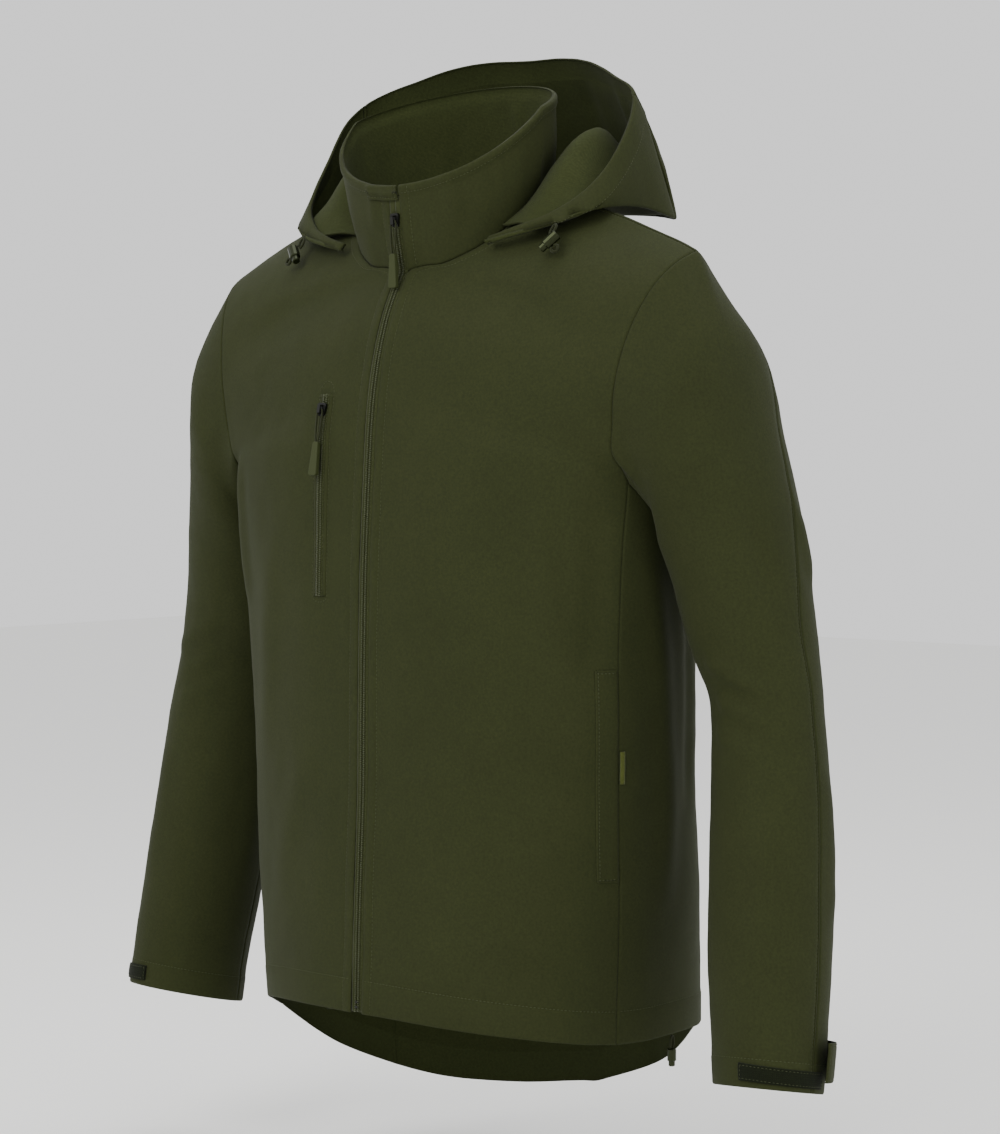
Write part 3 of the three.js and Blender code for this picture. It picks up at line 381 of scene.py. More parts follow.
# Folds: on which cloth, through which points, how wide and how high, in mm.
# Body points are angle and height; sleeve points are angle round the ring and height.
bodyFolds = table("path width height", [
    (((-52, -232), (-54, -300), (-50, -372)), 13, 3.2),
    (((-63, -250), (-66, -330), (-62, -410)), 16, -2.4),
    (((-30, -300), (-34, -400), (-40, -500)), 22, 1.6),
    (((40, -262), (46, -330), (50, -400)), 16, 1.8),
    (((58, -262), (62, -340), (60, -430)), 14, -2.0),
    (((82, -300), (88, -400), (90, -520), (86, -620)), 17, 3.0),
    (((100, -310), (104, -420), (101, -540)), 13, -2.2),
    (((-84, -310), (-90, -420), (-88, -560)), 17, 2.8),
    (((-102, -300), (-106, -420), (-103, -540)), 13, -2.2),
    (((22, -560), (34, -610), (46, -650)), 20, 1.4),
    (((-14, -470), (-24, -540), (-30, -620)), 22, 1.2),
    (((135, -262), (140, -340), (146, -430)), 18, 2.8),
    (((-135, -262), (-141, -350), (-148, -420)), 18, 2.6),
    (((160, -300), (166, -420), (164, -540)), 22, -2.0),
    (((-163, -330), (-168, -450), (-166, -600)), 22, -1.8),
    (((178, -250), (174, -360), (176, -470)), 20, 1.8),
    (((150, -620), (158, -700), (162, -770)), 20, 1.8),
    (((-146, -600), (-155, -690), (-158, -780)), 22, 2.0),
])
sleeveFolds = table("path width height", [
    (((-20, -250), (-26, -300), (-34, -345)), 12, 2.2),
    (((30, -245), (36, -300), (30, -350)), 14, -2.0),
    (((118, -392), (82, -408), (44, -424)), 10, 3.0),
    (((122, -424), (88, -436), (52, -446)), 9, 2.4),
    (((128, -452), (96, -462), (66, -470)), 10, 2.0),
    (((-58, -404), (-84, -420), (-112, -428)), 10, 2.2),
    (((-70, -446), (-96, -455), (-120, -458)), 9, 1.8),
    (((-10, -470), (-18, -540), (-24, -600)), 15, 1.6),
    (((60, -500), (66, -570), (62, -640)), 16, 1.8),
    (((170, -480), (176, -560), (172, -640)), 15, 1.8),
    (((-120, -500), (-128, -570), (-124, -650)), 15, -1.6),
    (((150, -330), (160, -370), (176, -404)), 12, 2.0),
])


def sleevePoint(angle, z):
    ring = {c: readTable(sleeveRings, "z", c, z) for c in ("x", "y", "wide", "deep", "rise", "swing")}
    swing = math.radians(ring["swing"])
    a, b = ring["wide"] * math.cos(math.radians(angle) - swing), ring["deep"] * math.sin(math.radians(angle) - swing)
    out, fore = a * math.cos(swing) - b * math.sin(swing), a * math.sin(swing) + b * math.cos(swing)
    return np.array([ring["x"] + out, ring["y"] - fore, z + fore * math.sin(math.radians(ring["rise"]))])


# How much higher the folds are made than their tables say
foldScale = dict(body=1.35, sleeve=1.3, otherSleeve=0.85, collar=1.5)
otherSleeveRise = [0, 0, 7]  # the right sleeve's folds sit this much higher
folds = []
for fold in bodyFolds:
    path = np.array([bodyPoint(*p) for p in fold["path"]])
    folds.append(("body", path, fold["width"], fold["height"] * foldScale["body"]))
for fold in sleeveFolds:
    path = np.array([sleevePoint(*p) for p in fold["path"]])
    folds.append(("sleeve", path, fold["width"], fold["height"] * foldScale["sleeve"]))
    folds.append(("sleeve", path * mirrorX + otherSleeveRise, fold["width"] * 1.1,
                  fold["height"] * foldScale["otherSleeve"]))
neckFolds = table("path width height", [
    (((44, -76, 10), (50, -74, -20), (56, -62, -52)), 9, 1.8),
    (((70, -60, 26), (74, -54, -4), (78, -42, -40)), 8, -1.6),
    (((84, -44, 34), (86, -36, 4), (86, -28, -30)), 8, 1.6),
    (((-22, -82, 2), (-26, -82, -26), (-28, -78, -60)), 8, 1.2),
    (((-64, 20, 34), (-70, 18, 6), (-74, 14, -18)), 9, 2.2),
    (((-40, 42, 52), (-44, 46, 20), (-47, 50, -2)), 8, 1.4),
    (((20, 48, 62), (22, 54, 30), (24, 58, 4)), 9, -1.3),
    (((72, 6, 30), (78, 2, 4), (82, -2, -22)), 9, 1.2),
    (((-60, -58, 6), (-58, -60, -30), (-54, -60, -60)), 12, 1.2),
])
for fold in neckFolds:
    folds.append(("collar", np.array(fold["path"], float), fold["width"], fold["height"] * foldScale["collar"]))
hoodFolds = table("path width height", [
    (((150, 40, 44), (148, 64, 10), (140, 96, -36)), 12, 2.6),
    (((96, 74, 70), (108, 98, 30), (104, 122, -24)), 12, -2.4),
    (((36, 108, 84), (44, 138, 40), (40, 142, -14)), 14, 2.4),
    (((-30, 110, 88), (-38, 142, 40), (-34, 142, -18)), 14, -2.2),
    (((-92, 78, 72), (-106, 100, 30), (-98, 124, -24)), 12, 2.4),
    (((-150, 36, 40), (-150, 62, 6), (-140, 94, -34)), 12, -2.0),
])
for fold in hoodFolds:
    folds.append(("hood", np.array(fold["path"], float), fold["width"], fold["height"]))


def lineDistance(points, path):
    best = np.full(len(points), 1e9)
    where = np.zeros(len(points))
    for k in range(len(path) - 1):
        a, b = path[k], path[k + 1]
        t = np.clip(((points - a) @ (b - a)) / ((b - a) @ (b - a)), 0, 1)
        d = np.linalg.norm(points - a - t[:, None] * (b - a), axis=1)
        nearer = d < best
        best[nearer] = d[nearer]
        where[nearer] = (k + t[nearer]) / (len(path) - 1)
    return best, where


# Soft noise for each kind of cloth: height of the broad and of the fine waves
wander = dict(body=(0.9, 0.35), sleeve=(0.9, 0.4), collar=(0.5, 0.25), hood=(1.3, 0.5), base=(1.6, 0.6))


def relief(points, kind):
    shape = points.shape[:2]
    flat = points.reshape(-1, 3)
    height = np.zeros(len(flat))
    for on, path, width, tall in folds:
        if on != kind:
            continue
        d, t = lineDistance(flat, refine(path, 4))
        q = d / width
        fade = np.clip(np.minimum(t, 1 - t) / 0.3, 0, 1)
        height += tall * fade * fade * (3 - 2 * fade) * (1 - 0.8 * q * q) * np.exp(-q * q)
    broad, narrow = wander[kind]
    for i, p in enumerate(flat):
        height[i] += broad * noise.noise(Vector(p) / 55) + narrow * noise.noise(Vector(p) / 17 + Vector((7, 3, 1)))
    if kind == "sleeve":
        height *= np.clip((flat[:, 2] + 740) / 70, 0.1, 1)
    return height.reshape(shape)


# Lines of vertices at set distances from both ends of every column
def pinned(grid, start, end):
    along = lengthsAlong(grid, 0)
    total = along[-1]
    least = total.min()
    share = (along / total).mean(axis=1)
    keep = share[(share * least > start[-1] + 1.2) & ((1 - share) * least > end[-1] + 1.2)]
    out = []
    for j in range(grid.shape[1]):
        at = np.concatenate([start, keep * total[j], total[j] - np.array(end)[::-1]])
        out.append(readLine(grid[:, j], along[:, j], at))
    return np.stack(out, 1)


def pins(edge):
    at = [0, 0.5, 1.3, 2.4]
    for d in edge["stitch"]:
        at += [d - 0.9, d, d + 0.9]
    return at if at[3] < at[-2] or len(at) == 4 else sorted(set(at))


def pinnedAll(grid, top, bottom, left, right):
    grid = pinned(grid, pins(top), pins(bottom))
    return pinned(grid.swapaxes(0, 1), pins(left), pins(right)).swapaxes(0, 1)


def edgeProfile(distance, edge):
    height = -edge["roll"] * np.exp(-(distance / 0.9) ** 2)
    for d in edge["stitch"]:
        height -= 0.45 * np.exp(-((distance - d) / 0.6) ** 2)
    if "double" in edge:
        height += edge.get("thick", 0.7) / (1 + np.exp(np.clip((distance - edge["double"] - 1) * 2.5, -30, 30)))
    return height


def gridNormals(grid, flip):
    down = np.gradient(grid, axis=0)
    across = np.gradient(grid, axis=1)
    return unit(np.cross(down, across)) * (-1 if flip else 1)


def lengthsAlong(grid, axis):
    steps = np.linalg.norm(np.diff(grid, axis=axis), axis=2)
    zero = np.zeros((1, grid.shape[1])) if axis == 0 else np.zeros((grid.shape[0], 1))
    return np.concatenate([zero, np.cumsum(steps, axis=axis)], axis=axis)


def meshObject(name, points, faces, materials, inner=None, uv=None, smooth=True):
    mesh = bpy.data.meshes.new(name)
    mesh.from_pydata((np.asarray(points) / 1000).tolist(), [], faces)
    for material in materials:
        mesh.materials.append(material)
    if inner is not None:
        mesh.polygons.foreach_set("material_index", inner)
    if uv is not None:
        layer = mesh.uv_layers.new(name="cloth")
        corners = np.empty(len(mesh.loops), int)
        mesh.loops.foreach_get("vertex_index", corners)
        layer.data.foreach_set("uv", np.asarray(uv)[corners].ravel())
    mesh.polygons.foreach_set("use_smooth", [smooth] * len(mesh.polygons))
    mesh.update()
    piece = bpy.data.objects.new(name, mesh)
    bpy.context.collection.objects.link(piece)
    return piece


# A closed thin shell from outer and inner grids of points
def shell(name, outer, inner, flip, materials):
    rows, columns = outer.shape[:2]
    half = rows * columns
    index = np.arange(half).reshape(rows, columns)
    a, b, c, d = index[:-1, :-1].ravel(), index[1:, :-1].ravel(), index[1:, 1:].ravel(), index[:-1, 1:].ravel()
    faces = [np.stack([a, b, c, d], 1), np.stack([a, d, c, b], 1) + half]
    for line, other in ((index[0], 1), (index[-1][::-1], 1), (index[:, 0][::-1], 1), (index[:, -1], 1)):
        p, q = line[:-1], line[1:]
        faces.append(np.stack([p, q, q + half, p + half], 1))
    faces = np.concatenate(faces)
    if flip:
        faces = faces[:, ::-1]
    inside = np.zeros(len(faces), int)
    inside[len(a):2 * len(a)] = 1 if len(materials) > 1 else 0
    u = lengthsAlong(outer, 1) / 100
    v = lengthsAlong(outer, 0) / 100
    uv = np.stack([u.ravel(), v.ravel()], 1)
    points = np.concatenate([outer.reshape(-1, 3), inner.reshape(-1, 3)])
    return meshObject(name, points, faces.tolist(), materials, inside, np.concatenate([uv, uv]))


# Threads: short pointed beads along a line of points, a little proud of the cloth
thread = dict(pitch=3.1, length=2.5, thick=0.55, proud=0.05)


def beads(points, faces, centres, along, up, length, thick):
    side = np.cross(along, up)
    first = len(points)
    for k, (c, a, u, s) in enumerate(zip(centres, along, up, side)):
        start = first + 6 * k
        points.extend([c - a * length / 2, c + a * length / 2, c + u * thick / 2, c - u * thick / 2,
                       c + s * thick / 2, c - s * thick / 2])
        for p, q in ((2, 4), (4, 3), (3, 5), (5, 2)):
            faces.append([start, start + p, start + q])
            faces.append([start + 1, start + q, start + p])


def stitchLine(points, faces, line, normals):
    along = lineLengths(line)
    if along[-1] < thread["pitch"] * 2:
        return
    at = np.arange(thread["pitch"] / 2, along[-1], thread["pitch"])
    direction = unit(readLine(line, along, at + 0.5) - readLine(line, along, at - 0.5))
    up = unit(readLine(normals, along, at))
    centres = readLine(line, along, at) + up * thread["proud"]
    beads(points, faces, centres, direction, up, thread["length"], thread["thick"])


# Materials
def linear(code):
    parts = [int(code[i:i + 2], 16) / 255 for i in (1, 3, 5)]
    return tuple(c / 12.92 if c <= 0.04045 else ((c + 0.055) / 1.055) ** 2.4 for c in parts) + (1.0,)


def newMaterial(name, color, roughness=0.8, **others):
    material = bpy.data.materials.new(name)
    material.use_nodes = True
    shader = material.node_tree.nodes["Principled BSDF"]
    shader.inputs["Base Color"].default_value = linear(color)
    shader.inputs["Roughness"].default_value = roughness
    for key, value in others.items():
        shader.inputs[key.replace("_", " ")].default_value = value
    return material


def addNode(material, kind, links=(), **settings):
    node = material.node_tree.nodes.new(kind)
    for key, value in settings.items():
        if key[0].isupper():
            node.inputs[key.replace("_", " ")].default_value = value
        else:
            setattr(node, key, value)
    for output, key in links:
        material.node_tree.links.new(output, node.inputs[key])
    return node


def plug(material, output, key):
    material.node_tree.links.new(output, material.node_tree.nodes["Principled BSDF"].inputs[key])


# Woven cloth: two crossing bands on the cloth's own lengths, soft mottling and a faint nap
def clothMaterial(name, low, high, pitch, bump, roughness, sheen):
    material = newMaterial(name, low, roughness, Sheen_Weight=sheen, Sheen_Roughness=0.45, Specular_IOR_Level=0.12)
    coords = addNode(material, "ShaderNodeTexCoord")
    bands = []
    for direction in ("X", "Y"):
        bands.append(addNode(material, "ShaderNodeTexWave", [(coords.outputs["UV"], "Vector")],
                             bands_direction=direction, Scale=31.416 / pitch, Distortion=0.6, Detail=1.0))
    weave = addNode(material, "ShaderNodeMath", [(bands[0].outputs["Fac"], 0), (bands[1].outputs["Fac"], 1)],
                    operation="MULTIPLY")
    mottle = addNode(material, "ShaderNodeTexNoise", [(coords.outputs["Object"], "Vector")], Scale=14.0, Detail=4.0,
                     Roughness=0.6)
    nap = addNode(material, "ShaderNodeTexNoise", [(coords.outputs["Object"], "Vector")], Scale=900.0, Detail=2.0)
    blend = addNode(material, "ShaderNodeMixRGB", [(mottle.outputs["Fac"], "Fac")], Color1=linear(low),
                    Color2=linear(high))
    shade = addNode(material, "ShaderNodeMixRGB", [(blend.outputs["Color"], "Color1")], blend_type="MULTIPLY", Fac=0.35)
    material.node_tree.links.new(weave.outputs[0], shade.inputs["Color2"])
    speckle = addNode(material, "ShaderNodeTexNoise", [(coords.outputs["Object"], "Vector")], Scale=520.0, Detail=3.0)
    spread = addNode(material, "ShaderNodeMapRange", [(speckle.outputs["Fac"], "Value")])
    for key, value in (("From Min", 0.3), ("From Max", 0.7), ("To Min", 0.84), ("To Max", 1.14)):
        spread.inputs[key].default_value = value
    fleck = addNode(material, "ShaderNodeMixRGB", [(shade.outputs["Color"], "Color1"), (spread.outputs[0], "Color2")],
                    blend_type="MULTIPLY", Fac=1.0)
    plug(material, fleck.outputs["Color"], "Base Color")
    mixed = addNode(material, "ShaderNodeMath", [(nap.outputs["Fac"], 0), (weave.outputs[0], 2)],
                    operation="MULTIPLY_ADD")
    mixed.inputs[1].default_value = 0.5
    rise = addNode(material, "ShaderNodeBump", [(mixed.outputs[0], "Height")], Strength=0.5, Distance=bump)
    plug(material, rise.outputs["Normal"], "Normal")
    return material


# Matt olive face of the bonded softshell
softshell = clothMaterial("olive_softshell", "#292e14", "#31361a", 0.8, 0.00016, 0.82, 0.02)
# Its inner face, a short fleece, given a slightly lighter olive than the outer face: painted light that lifts the shade
# inside the hood and on the other inner faces
softshellInsideLightened = clothMaterial("olive_softshell_inside_lightened", "#2e3418", "#353b1e", 1.2, 0.0002, 0.95, 0.02)
# Woven zip tape
zipTape = clothMaterial("olive_zip_tape", "#2c3214", "#343a19", 0.7, 0.0001, 0.8, 0.1)
# Sewing thread
threadOlive = newMaterial("olive_thread", "#333918", 0.6)
# Plain woven tab
tabWoven = clothMaterial("olive_woven_tab", "#444a1d", "#505724", 0.6, 0.0001, 0.7, 0.1)
# Nylon coil teeth
zipCoil = newMaterial("olive_zip_coil", "#343a1a", 0.42)
# Loop side of the cuff fastener
loopPile = clothMaterial("dark_loop_pile", "#10140a", "#181d0d", 1.6, 0.0004, 0.98, 0.03)
# Braided cord
cordBraid = clothMaterial("olive_braided_cord", "#1d2109", "#282d10", 0.9, 0.0002, 0.75, 0.1)
# Moulded pullers
pullerMoulded = newMaterial("olive_moulded_puller", "#2b3115", 0.65, Specular_IOR_Level=0.2)
# Dark satin metal of the sliders
sliderMetal = newMaterial("dark_slider_metal", "#0b0c08", 0.38, Metallic=0.4)
# Cord locks, satin and dark olive
lockMoulded = newMaterial("dark_moulded_lock", "#262b16", 0.34, Metallic=0.8)

fittings = {"front_zip_slider": sliderMetal, "chest_zip_slider": sliderMetal, "front_pull": pullerMoulded,
            "chest_pull": pullerMoulded, "front_pull_cord": cordBraid, "chest_pull_cord": cordBraid}
for side in ("left", "right"):
    fittings.update({"hood_cord_lock_" + side: lockMoulded, "hem_cord_lock_" + side: lockMoulded,
                     "hood_cord_" + side: cordBraid, "hood_cord_tail_" + side: cordBraid,
                     "hem_cord_" + side: cordBraid})
for name, material in fittings.items():
    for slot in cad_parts[name].material_slots:
        slot.material = material
print("materials ready")


# Cloth panels
narrowest = 0.0101  # metres: declare() measures each piece against this width and returns; it marks nothing


def declare(outer):
    width = lengthsAlong(outer, 1)[:, -1].max() / 1000
    length = lengthsAlong(outer, 0)[-1].max() / 1000
    if min(width, length) < narrowest:
        return


grids = {}
for name, piece in pieces.items():
    grids[name] = pinnedAll(fine[name], piece["top"], piece["bottom"], piece["left"], piece["right"])
normals = {name: gridNormals(grid, pieces[name]["flip"]) for name, grid in grids.items()}


def border(grid):
    inside = np.zeros(grid.shape[:2], bool)
    inside[1:-1, 1:-1] = True
    return np.argwhere(~inside)


for group in (("body", "sleeve", "collar"), ("hood",)):
    members = [name for name in pieces if pieces[name]["kind"] in group]
    spots = [(name, i, j) for name in members for i, j in border(grids[name])]
    tree = kdtree.KDTree(len(spots))
    for k, (name, i, j) in enumerate(spots):
        tree.insert(Vector(grids[name][i, j]), k)
    tree.balance()
    own = {name: normals[name].copy() for name in members}
    for name, i, j in spots:
        total = own[name][i, j].copy()
        met = {name}
        for near in tree.find_range(Vector(grids[name][i, j]), 5):
            other = spots[near[1]]
            if other[0] not in met:
                met.add(other[0])
                total = total + own[other[0]][other[1], other[2]]
        normals[name][i, j] = unit(total)

finals = {}


def buildPiece(name, grid, normal, piece, materials):
    down, across = lengthsAlong(grid, 0), lengthsAlong(grid, 1)
    height = relief(grid, piece["kind"]) if piece["kind"] else np.zeros(grid.shape[:2])
    height = height + edgeProfile(down, piece["top"]) + edgeProfile(down[-1:] - down, piece["bottom"])
    height = height + edgeProfile(across, piece["left"]) + edgeProfile(across[:, -1:] - across, piece["right"])
    outer = grid + normal * height[:, :, None]
    made = shell("cloth_" + name, outer, outer - normal * piece["wall"], piece["flip"], materials)
    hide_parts(name)
    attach(made, "jacket")
    declare(outer)
    finals[name] = (outer, normal)
    points, faces = [], []
    for edge, lines, upward in (("top", outer, normal), ("bottom", outer[::-1], normal[::-1]),
                                ("left", outer.swapaxes(0, 1), normal.swapaxes(0, 1)),
                                ("right", outer[:, ::-1].swapaxes(0, 1), normal[:, ::-1].swapaxes(0, 1))):
        for d in piece[edge]["stitch"]:
            k = pins(piece[edge]).index(d)
            stitchLine(points, faces, lines[k][3:-3], upward[k][3:-3])
    if points:
        addThreads("stitches_" + name, points, faces)


def addThreads(name, points, faces, material=None):
    sewn = meshObject(name, points, faces, [material or threadOlive])
    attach(sewn, "jacket")
    return sewn


# Inner faces take the lighter inside colour, painted light against their shade
for name, piece in pieces.items():
    buildPiece(name, grids[name], normals[name], piece, [softshell, softshellInsideLightened])
print("cloth panels ready")


# The finished surface of a panel near any point: its place and its normal there
trees = {}


def seat(panel, points, lift=0.0):
    if panel not in trees:
        outer, normal = (g.reshape(-1, 3) for g in finals[panel])
        tree = kdtree.KDTree(len(outer))
        for k, p in enumerate(outer):
            tree.insert(Vector(p), k)
        tree.balance()
        trees[panel] = (tree, outer, normal)
    tree, outer, normal = trees[panel]
    shape = points.shape
    out, up = [], []
    for p in points.reshape(-1, 3):
        found = tree.find_n(Vector(p), 5)
        weight = np.array([1 / (d * d + 2) for q, k, d in found])
        index = [k for q, k, d in found]
        n = unit((normal[index] * weight[:, None]).sum(axis=0))
        rise = (((outer[index] - p) @ n) * weight).sum() / weight.sum()
        out.append(p + n * (rise + lift))
        up.append(n)
    return np.array(out).reshape(shape), np.array(up).reshape(shape)


# A strip laid along a line on a panel: its section is pairs of distance across and height
def laid(panel, line, section):
    onPanel, up = seat(panel, line)
    across = unit(np.cross(np.gradient(onPanel, axis=0), up))
    rows = []
    for d, h in section:
        spot, n = seat(panel, onPanel + across * d)
        rows.append(spot + n * h)
    grid = np.stack(rows, 1)
    return grid, np.repeat(up[:, None], len(section), axis=1), across


# Coil teeth on both sides of a line, and the threads that sew them to the tape
coil = dict(pitch=1.5, length=3.4, thick=1.3, side=1.6, sewnAt=4.2, sewnBelow=0.5)


def coilTeeth(name, line, up, across):
    along = lineLengths(line)
    points, faces = [], []
    for sign in (1, -1):
        at = np.arange(0.5 + (sign > 0) * coil["pitch"] / 2, along[-1], coil["pitch"])
        sideways = unit(readLine(across, along, at))
        beads(points, faces, readLine(line, along, at) + sideways * sign * coil["side"], sideways,
              unit(readLine(up, along, at)), coil["length"], coil["thick"])
    addThreads(name, points, faces, zipCoil)
    points, faces = [], []
    for sign in (1, -1):
        stitchLine(points, faces, line + across * sign * coil["sewnAt"] - up * coil["sewnBelow"], up)
    addThreads(name + "_sewing", points, faces, threadOlive)


# Front zip
zipLine = np.concatenate([fine["collar"][::-1, 0], fine["front_left"][neckRows * upperSteps + 1:, 0]]) * [0, 1, 1]
centreY = lambda z: np.interp(-np.asarray(z, float), -zipLine[:, 2], zipLine[:, 1])
frontZip = dict(top=-27, bottom=-687, recess=0.2, half=5.8, wall=1.2, coilFrom=6, coilProud=0.7, stop=3.2)
zipZ = np.linspace(frontZip["top"], frontZip["bottom"], 180)
zipMiddle = np.stack([zipZ * 0, centreY(zipZ) + frontZip["recess"], zipZ], -1)
zipTangent = unit(np.gradient(zipMiddle, axis=0))
zipUp = unit(np.cross(zipTangent, [1.0, 0, 0]))
zipUp *= np.where(zipUp[:, 1:2] > 0, -1, 1)
for side, sign in (("left", 1), ("right", -1)):
    columns = np.array([0.05, 1.2, 2.4, 3.6, 4.8, frontZip["half"]]) * sign
    tape = zipMiddle[:, None] + columns[None, :, None] * np.array([1.0, 0, 0])
    buildPiece("front_zip_tape_" + side, tape, np.repeat(zipUp[:, None], len(columns), axis=1),
               trimPiece(sign < 0, frontZip["wall"], plain), [zipTape])
coilLine, coilUp = zipMiddle[frontZip["coilFrom"]:], zipUp[frontZip["coilFrom"]:]
coilTeeth("front_coil", coilLine + coilUp * frontZip["coilProud"], coilUp,
          np.repeat([[1.0, 0, 0]], len(coilUp), axis=0))
points, faces = [], []
for z, width in ((-683, 5.4), (-679, 4.2)):
    beads(points, faces, np.array([[0, centreY(z) - 0.5, z]]), np.array([[1.0, 0, 0]]), np.array([[0, -1.0, 0]]),
          width, frontZip["stop"])
addThreads("front_zip_stop", points, faces, sliderMetal)

# Chest zip on the wearer's right: tape and coil between two folded lips, stitched round
chestZip = dict(top=(-55, -186), bottom=(-51, -352), wall=1.1, steps=60, outline=8.6, endBelow=5, endAbove=11)
chestLip = dict(section=((7.6, 0.1), (7.0, 0.5), (6.0, 1.0), (5.0, 1.3), (4.4, 1.2), (4.1, 0.6)), wall=0.9)
ends = np.linspace(0, 1, chestZip["steps"])[:, None]
chestPath = mix(np.array([chestZip["top"]]), np.array([chestZip["bottom"]]), ends)
chestPath = np.stack([chestPath[:, 0], centreY(chestPath[:, 1]) - 4, chestPath[:, 1]], -1)


def facesInward(grid, up):
    return np.cross(grid[1, 0] - grid[0, 0], grid[0, 1] - grid[0, 0]) @ up[0, 0] < 0


grid, up, across = laid("front_right", chestPath, [(-4, 1.2), (-2.8, 1.3), (0, 1.35), (2.8, 1.3), (4, 1.2)])
buildPiece("chest_zip_tape", grid, up, trimPiece(facesInward(grid, up), chestZip["wall"], plain), [zipTape])
coilTeeth("chest_coil", grid[:, 2] + up[:, 2] * 0.5, up[:, 2], across)
for k, sign in enumerate((-1, 1)):
    lip, lipUp = laid("front_right", chestPath, [(sign * d, h) for d, h in chestLip["section"]])[:2]
    inward = facesInward(lip, lipUp)
    made = shell("chest_lip_" + str(k + 1), lip, lip - lipUp * chestLip["wall"], inward, [softshell])
    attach(made, "jacket")
    declare(lip)
spots, ups = seat("front_right", chestPath)
sideways = unit(np.cross(np.gradient(spots, axis=0), ups))
tangent = unit(spots[-1] - spots[-2])


def roundEnd(i, sign, reach, count):
    return [spots[i] + sideways[i] * chestZip["outline"] * sign * math.cos(a) + tangent * reach * math.sin(a)
            for a in np.linspace(0.2, 2.9, count)]


loop = list(spots + sideways * chestZip["outline"]) + roundEnd(-1, 1, chestZip["endBelow"], 8)
loop += list((spots - sideways * chestZip["outline"])[::-1]) + roundEnd(0, -1, -chestZip["endAbove"], 10)
loopOn, loopUp = seat("front_right", np.array(loop), 0.1)
points, faces = [], []
stitchLine(points, faces, loopOn, loopUp)
addThreads("stitches_chest_zip", points, faces)
print("zips ready")



# Garage over the top of the front zip
def onCollar(height, inward):
    outer, up = finals["collar"]
    down = lengthsAlong(outer, 0)[:, -1]
    i = int(np.argmin(abs(down - height * down[-1])))
    acrossFromEnd = lengthsAlong(outer[:, ::-1], 1)[i]
    return readLine(outer[i, ::-1], acrossFromEnd, inward), unit(readLine(up[i, ::-1], acrossFromEnd, inward))


rows, rowUps = [], []
for height in np.linspace(0.8, 1.0, 9):
    edge, edgeUp = onCollar(height, 0)
    row, rowUp = [edge + [10.5, 0, 0], edge + [6, 0, 0], edge + [2, 0, 0]], [edgeUp] * 3
    for inward in np.linspace(1.5, 25, 9):
        spot, n = onCollar(height, inward)
        row.append(spot)
        rowUp.append(n)
    rows.append(row)
    rowUps.append(rowUp)
garageEdge = dict(roll=0.5, stitch=(2.2,))
garageProud, garageWall = 2.0, 1.5
garage = pinnedAll(np.array(rows) + np.array(rowUps) * garageProud, garageEdge, plain, garageEdge, garageEdge)
garageFlip = np.cross(garage[4, 4] - garage[3, 4], garage[3, 5] - garage[3, 4])[1] > 0
buildPiece("zip_garage", garage, gridNormals(garage, garageFlip),
           trimPiece(garageFlip, garageWall, garageEdge, bottom=plain), [softshell])

# Pocket welts along the front seams, and the plain tab in the left one
pocket = dict(top=-405, bottom=-574, width=20, rise=1.5, wall=1.4)
weltEdge = dict(roll=0.8, stitch=(2.6,))
for side, sign in (("left", 1), ("right", -1)):
    rows = []
    for z in np.linspace(pocket["top"], pocket["bottom"], 40):
        perDegree = np.linalg.norm(bodyPoint((frontSeamAngle - 1) * sign, z) - bodyPoint(frontSeamAngle * sign, z))
        rows.append([bodyPoint((frontSeamAngle - d / perDegree) * sign, z)
                     for d in np.linspace(pocket["width"], 0.6, 9)])
    welt = seat("front_" + side, np.array(rows), pocket["rise"])[0]
    welt = pinnedAll(welt, weltEdge, weltEdge, weltEdge, seam)
    buildPiece("pocket_welt_" + side, welt, gridNormals(welt, sign < 0),
               trimPiece(sign < 0, pocket["wall"], weltEdge, right=seam), [softshell])
pocketTab = dict(top=-470, bottom=-496, near=0.8, far=5.2, rise=1.6, wall=1.0)
tab = []
for z in np.linspace(pocketTab["top"], pocketTab["bottom"], 9):
    perDegree = np.linalg.norm(bodyPoint(frontSeamAngle + 1, z) - bodyPoint(frontSeamAngle, z))
    tab.append([bodyPoint(frontSeamAngle + d / perDegree, z)
                for d in np.linspace(pocketTab["near"], pocketTab["far"], 5)])
tab, tabUp = seat("side_left", np.array(tab), pocketTab["rise"])
buildPiece("pocket_tab", tab, tabUp,
           trimPiece(False, pocketTab["wall"], plain, right=dict(roll=0.5, stitch=())), [tabWoven])

# Cuffs: the loop patch round the front and outside, and the tab that closes on it
cuffLoop = dict(start=-8, end=88, top=-706, bottom=-719, lift=2.2, out=0, edge=dict(roll=0.5, stitch=(1.6,)))
cuffTab = dict(start=-66, end=4, top=-683, bottom=-713, lift=2.1, out=11, edge=dict(roll=0.6, stitch=(2.4,)))
cuffCentre = (320, -10)
cuffWall = 1.5
for side, sign in (("left", 1), ("right", -1)):
    for name, cuff, material in (("cuff_loop_", cuffLoop, loopPile), ("cuff_tab_", cuffTab, softshell)):
        rows = []
        for z in np.linspace(cuff["top"], cuff["bottom"], 12):
            row = []
            for t in np.linspace(0, 1, 28):
                p = sleevePoint(mix(cuff["start"], cuff["end"], t), z)
                away = unit(np.array([p[0] - cuffCentre[0], p[1] - cuffCentre[1], 0]))
                row.append((p + away * cuff["out"] * t ** 1.5) * [sign, 1, 1])
            rows.append(row)
        edge, flip = cuff["edge"], sign > 0
        cuffGrid = pinnedAll(np.array(rows), edge, edge, edge, edge)
        cuffUp = gridNormals(cuffGrid, flip)
        buildPiece(name + side, cuffGrid + cuffUp * cuff["lift"], cuffUp, trimPiece(flip, cuffWall, edge), [material])
print("trims ready")


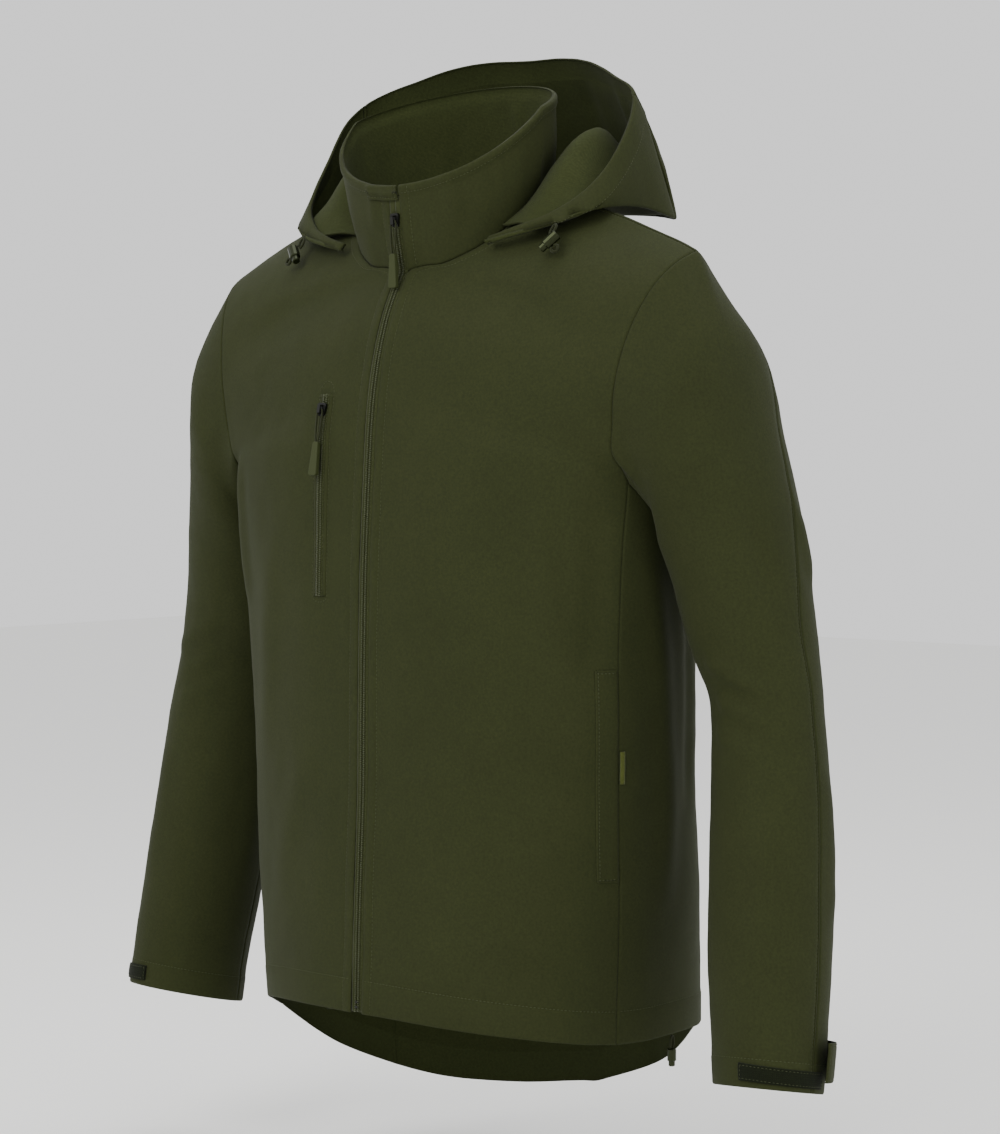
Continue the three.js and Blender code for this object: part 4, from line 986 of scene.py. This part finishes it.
# Stage, light and camera
def areaLight(name, place, aim, size, power, color):
    data = bpy.data.lights.new(name, "AREA")
    data.size, data.energy, data.color = size, power, color
    lamp = bpy.data.objects.new(name, data)
    lamp.location = place
    lamp.rotation_euler = (Vector(aim) - Vector(place)).to_track_quat("-Z", "Y").to_euler()
    bpy.context.collection.objects.link(lamp)


# The view of the photo: angles in degrees, distance in metres, focal length and height in pixels
view = dict(azimuth=40, elevation=2.55, distance=2.54, focal=3035, height=1134, sensor=36)
azimuth, elevation = math.radians(view["azimuth"]), math.radians(view["elevation"])
right = Vector((math.cos(azimuth), math.sin(azimuth), 0))
level = math.cos(elevation)
toCamera = Vector((math.sin(azimuth) * level, -math.cos(azimuth) * level, math.sin(elevation)))
target = Vector((0, 0, -0.331)) + right * 0.0326
areaLight("key", target + toCamera * 1.6 - right * 1.5 + Vector((0, 0, 1.5)), target, 1.6, 48, (1, 0.99, 0.97))
areaLight("fill", target + toCamera * 1.8 + right * 1.8 + Vector((0, 0, 0.5)), target, 2.0, 22, (1, 1, 1))
areaLight("top", target + Vector((0, 0.2, 2.0)), target, 1.8, 24, (1, 1, 1))
world = bpy.data.worlds.new("studio")
world.use_nodes = True
world.node_tree.nodes["Background"].inputs["Color"].default_value = (1, 1, 1, 1)
world.node_tree.nodes["Background"].inputs["Strength"].default_value = 1.1
bpy.context.scene.world = world
floorHalf, floorZ = 6000, -860
corners = [(x * floorHalf, y * floorHalf, floorZ) for x, y in ((-1, -1), (1, -1), (1, 1), (-1, 1))]
# Pale matt backdrop
paleFloor = newMaterial("pale_floor", "#f4f4f2", 0.9)
floor = meshObject("floor", corners, [[0, 1, 2, 3]], [paleFloor], smooth=False)
cameraData = bpy.data.cameras.new("camera")
cameraData.sensor_fit = "VERTICAL"
cameraData.sensor_height = view["sensor"]
cameraData.lens = view["focal"] * view["sensor"] / view["height"]
camera = bpy.data.objects.new("camera", cameraData)
camera.location = target + toCamera * view["distance"]
camera.rotation_euler = (-toCamera).to_track_quat("-Z", "Y").to_euler()
bpy.context.collection.objects.link(camera)
bpy.context.scene.camera = camera
print("stage ready")
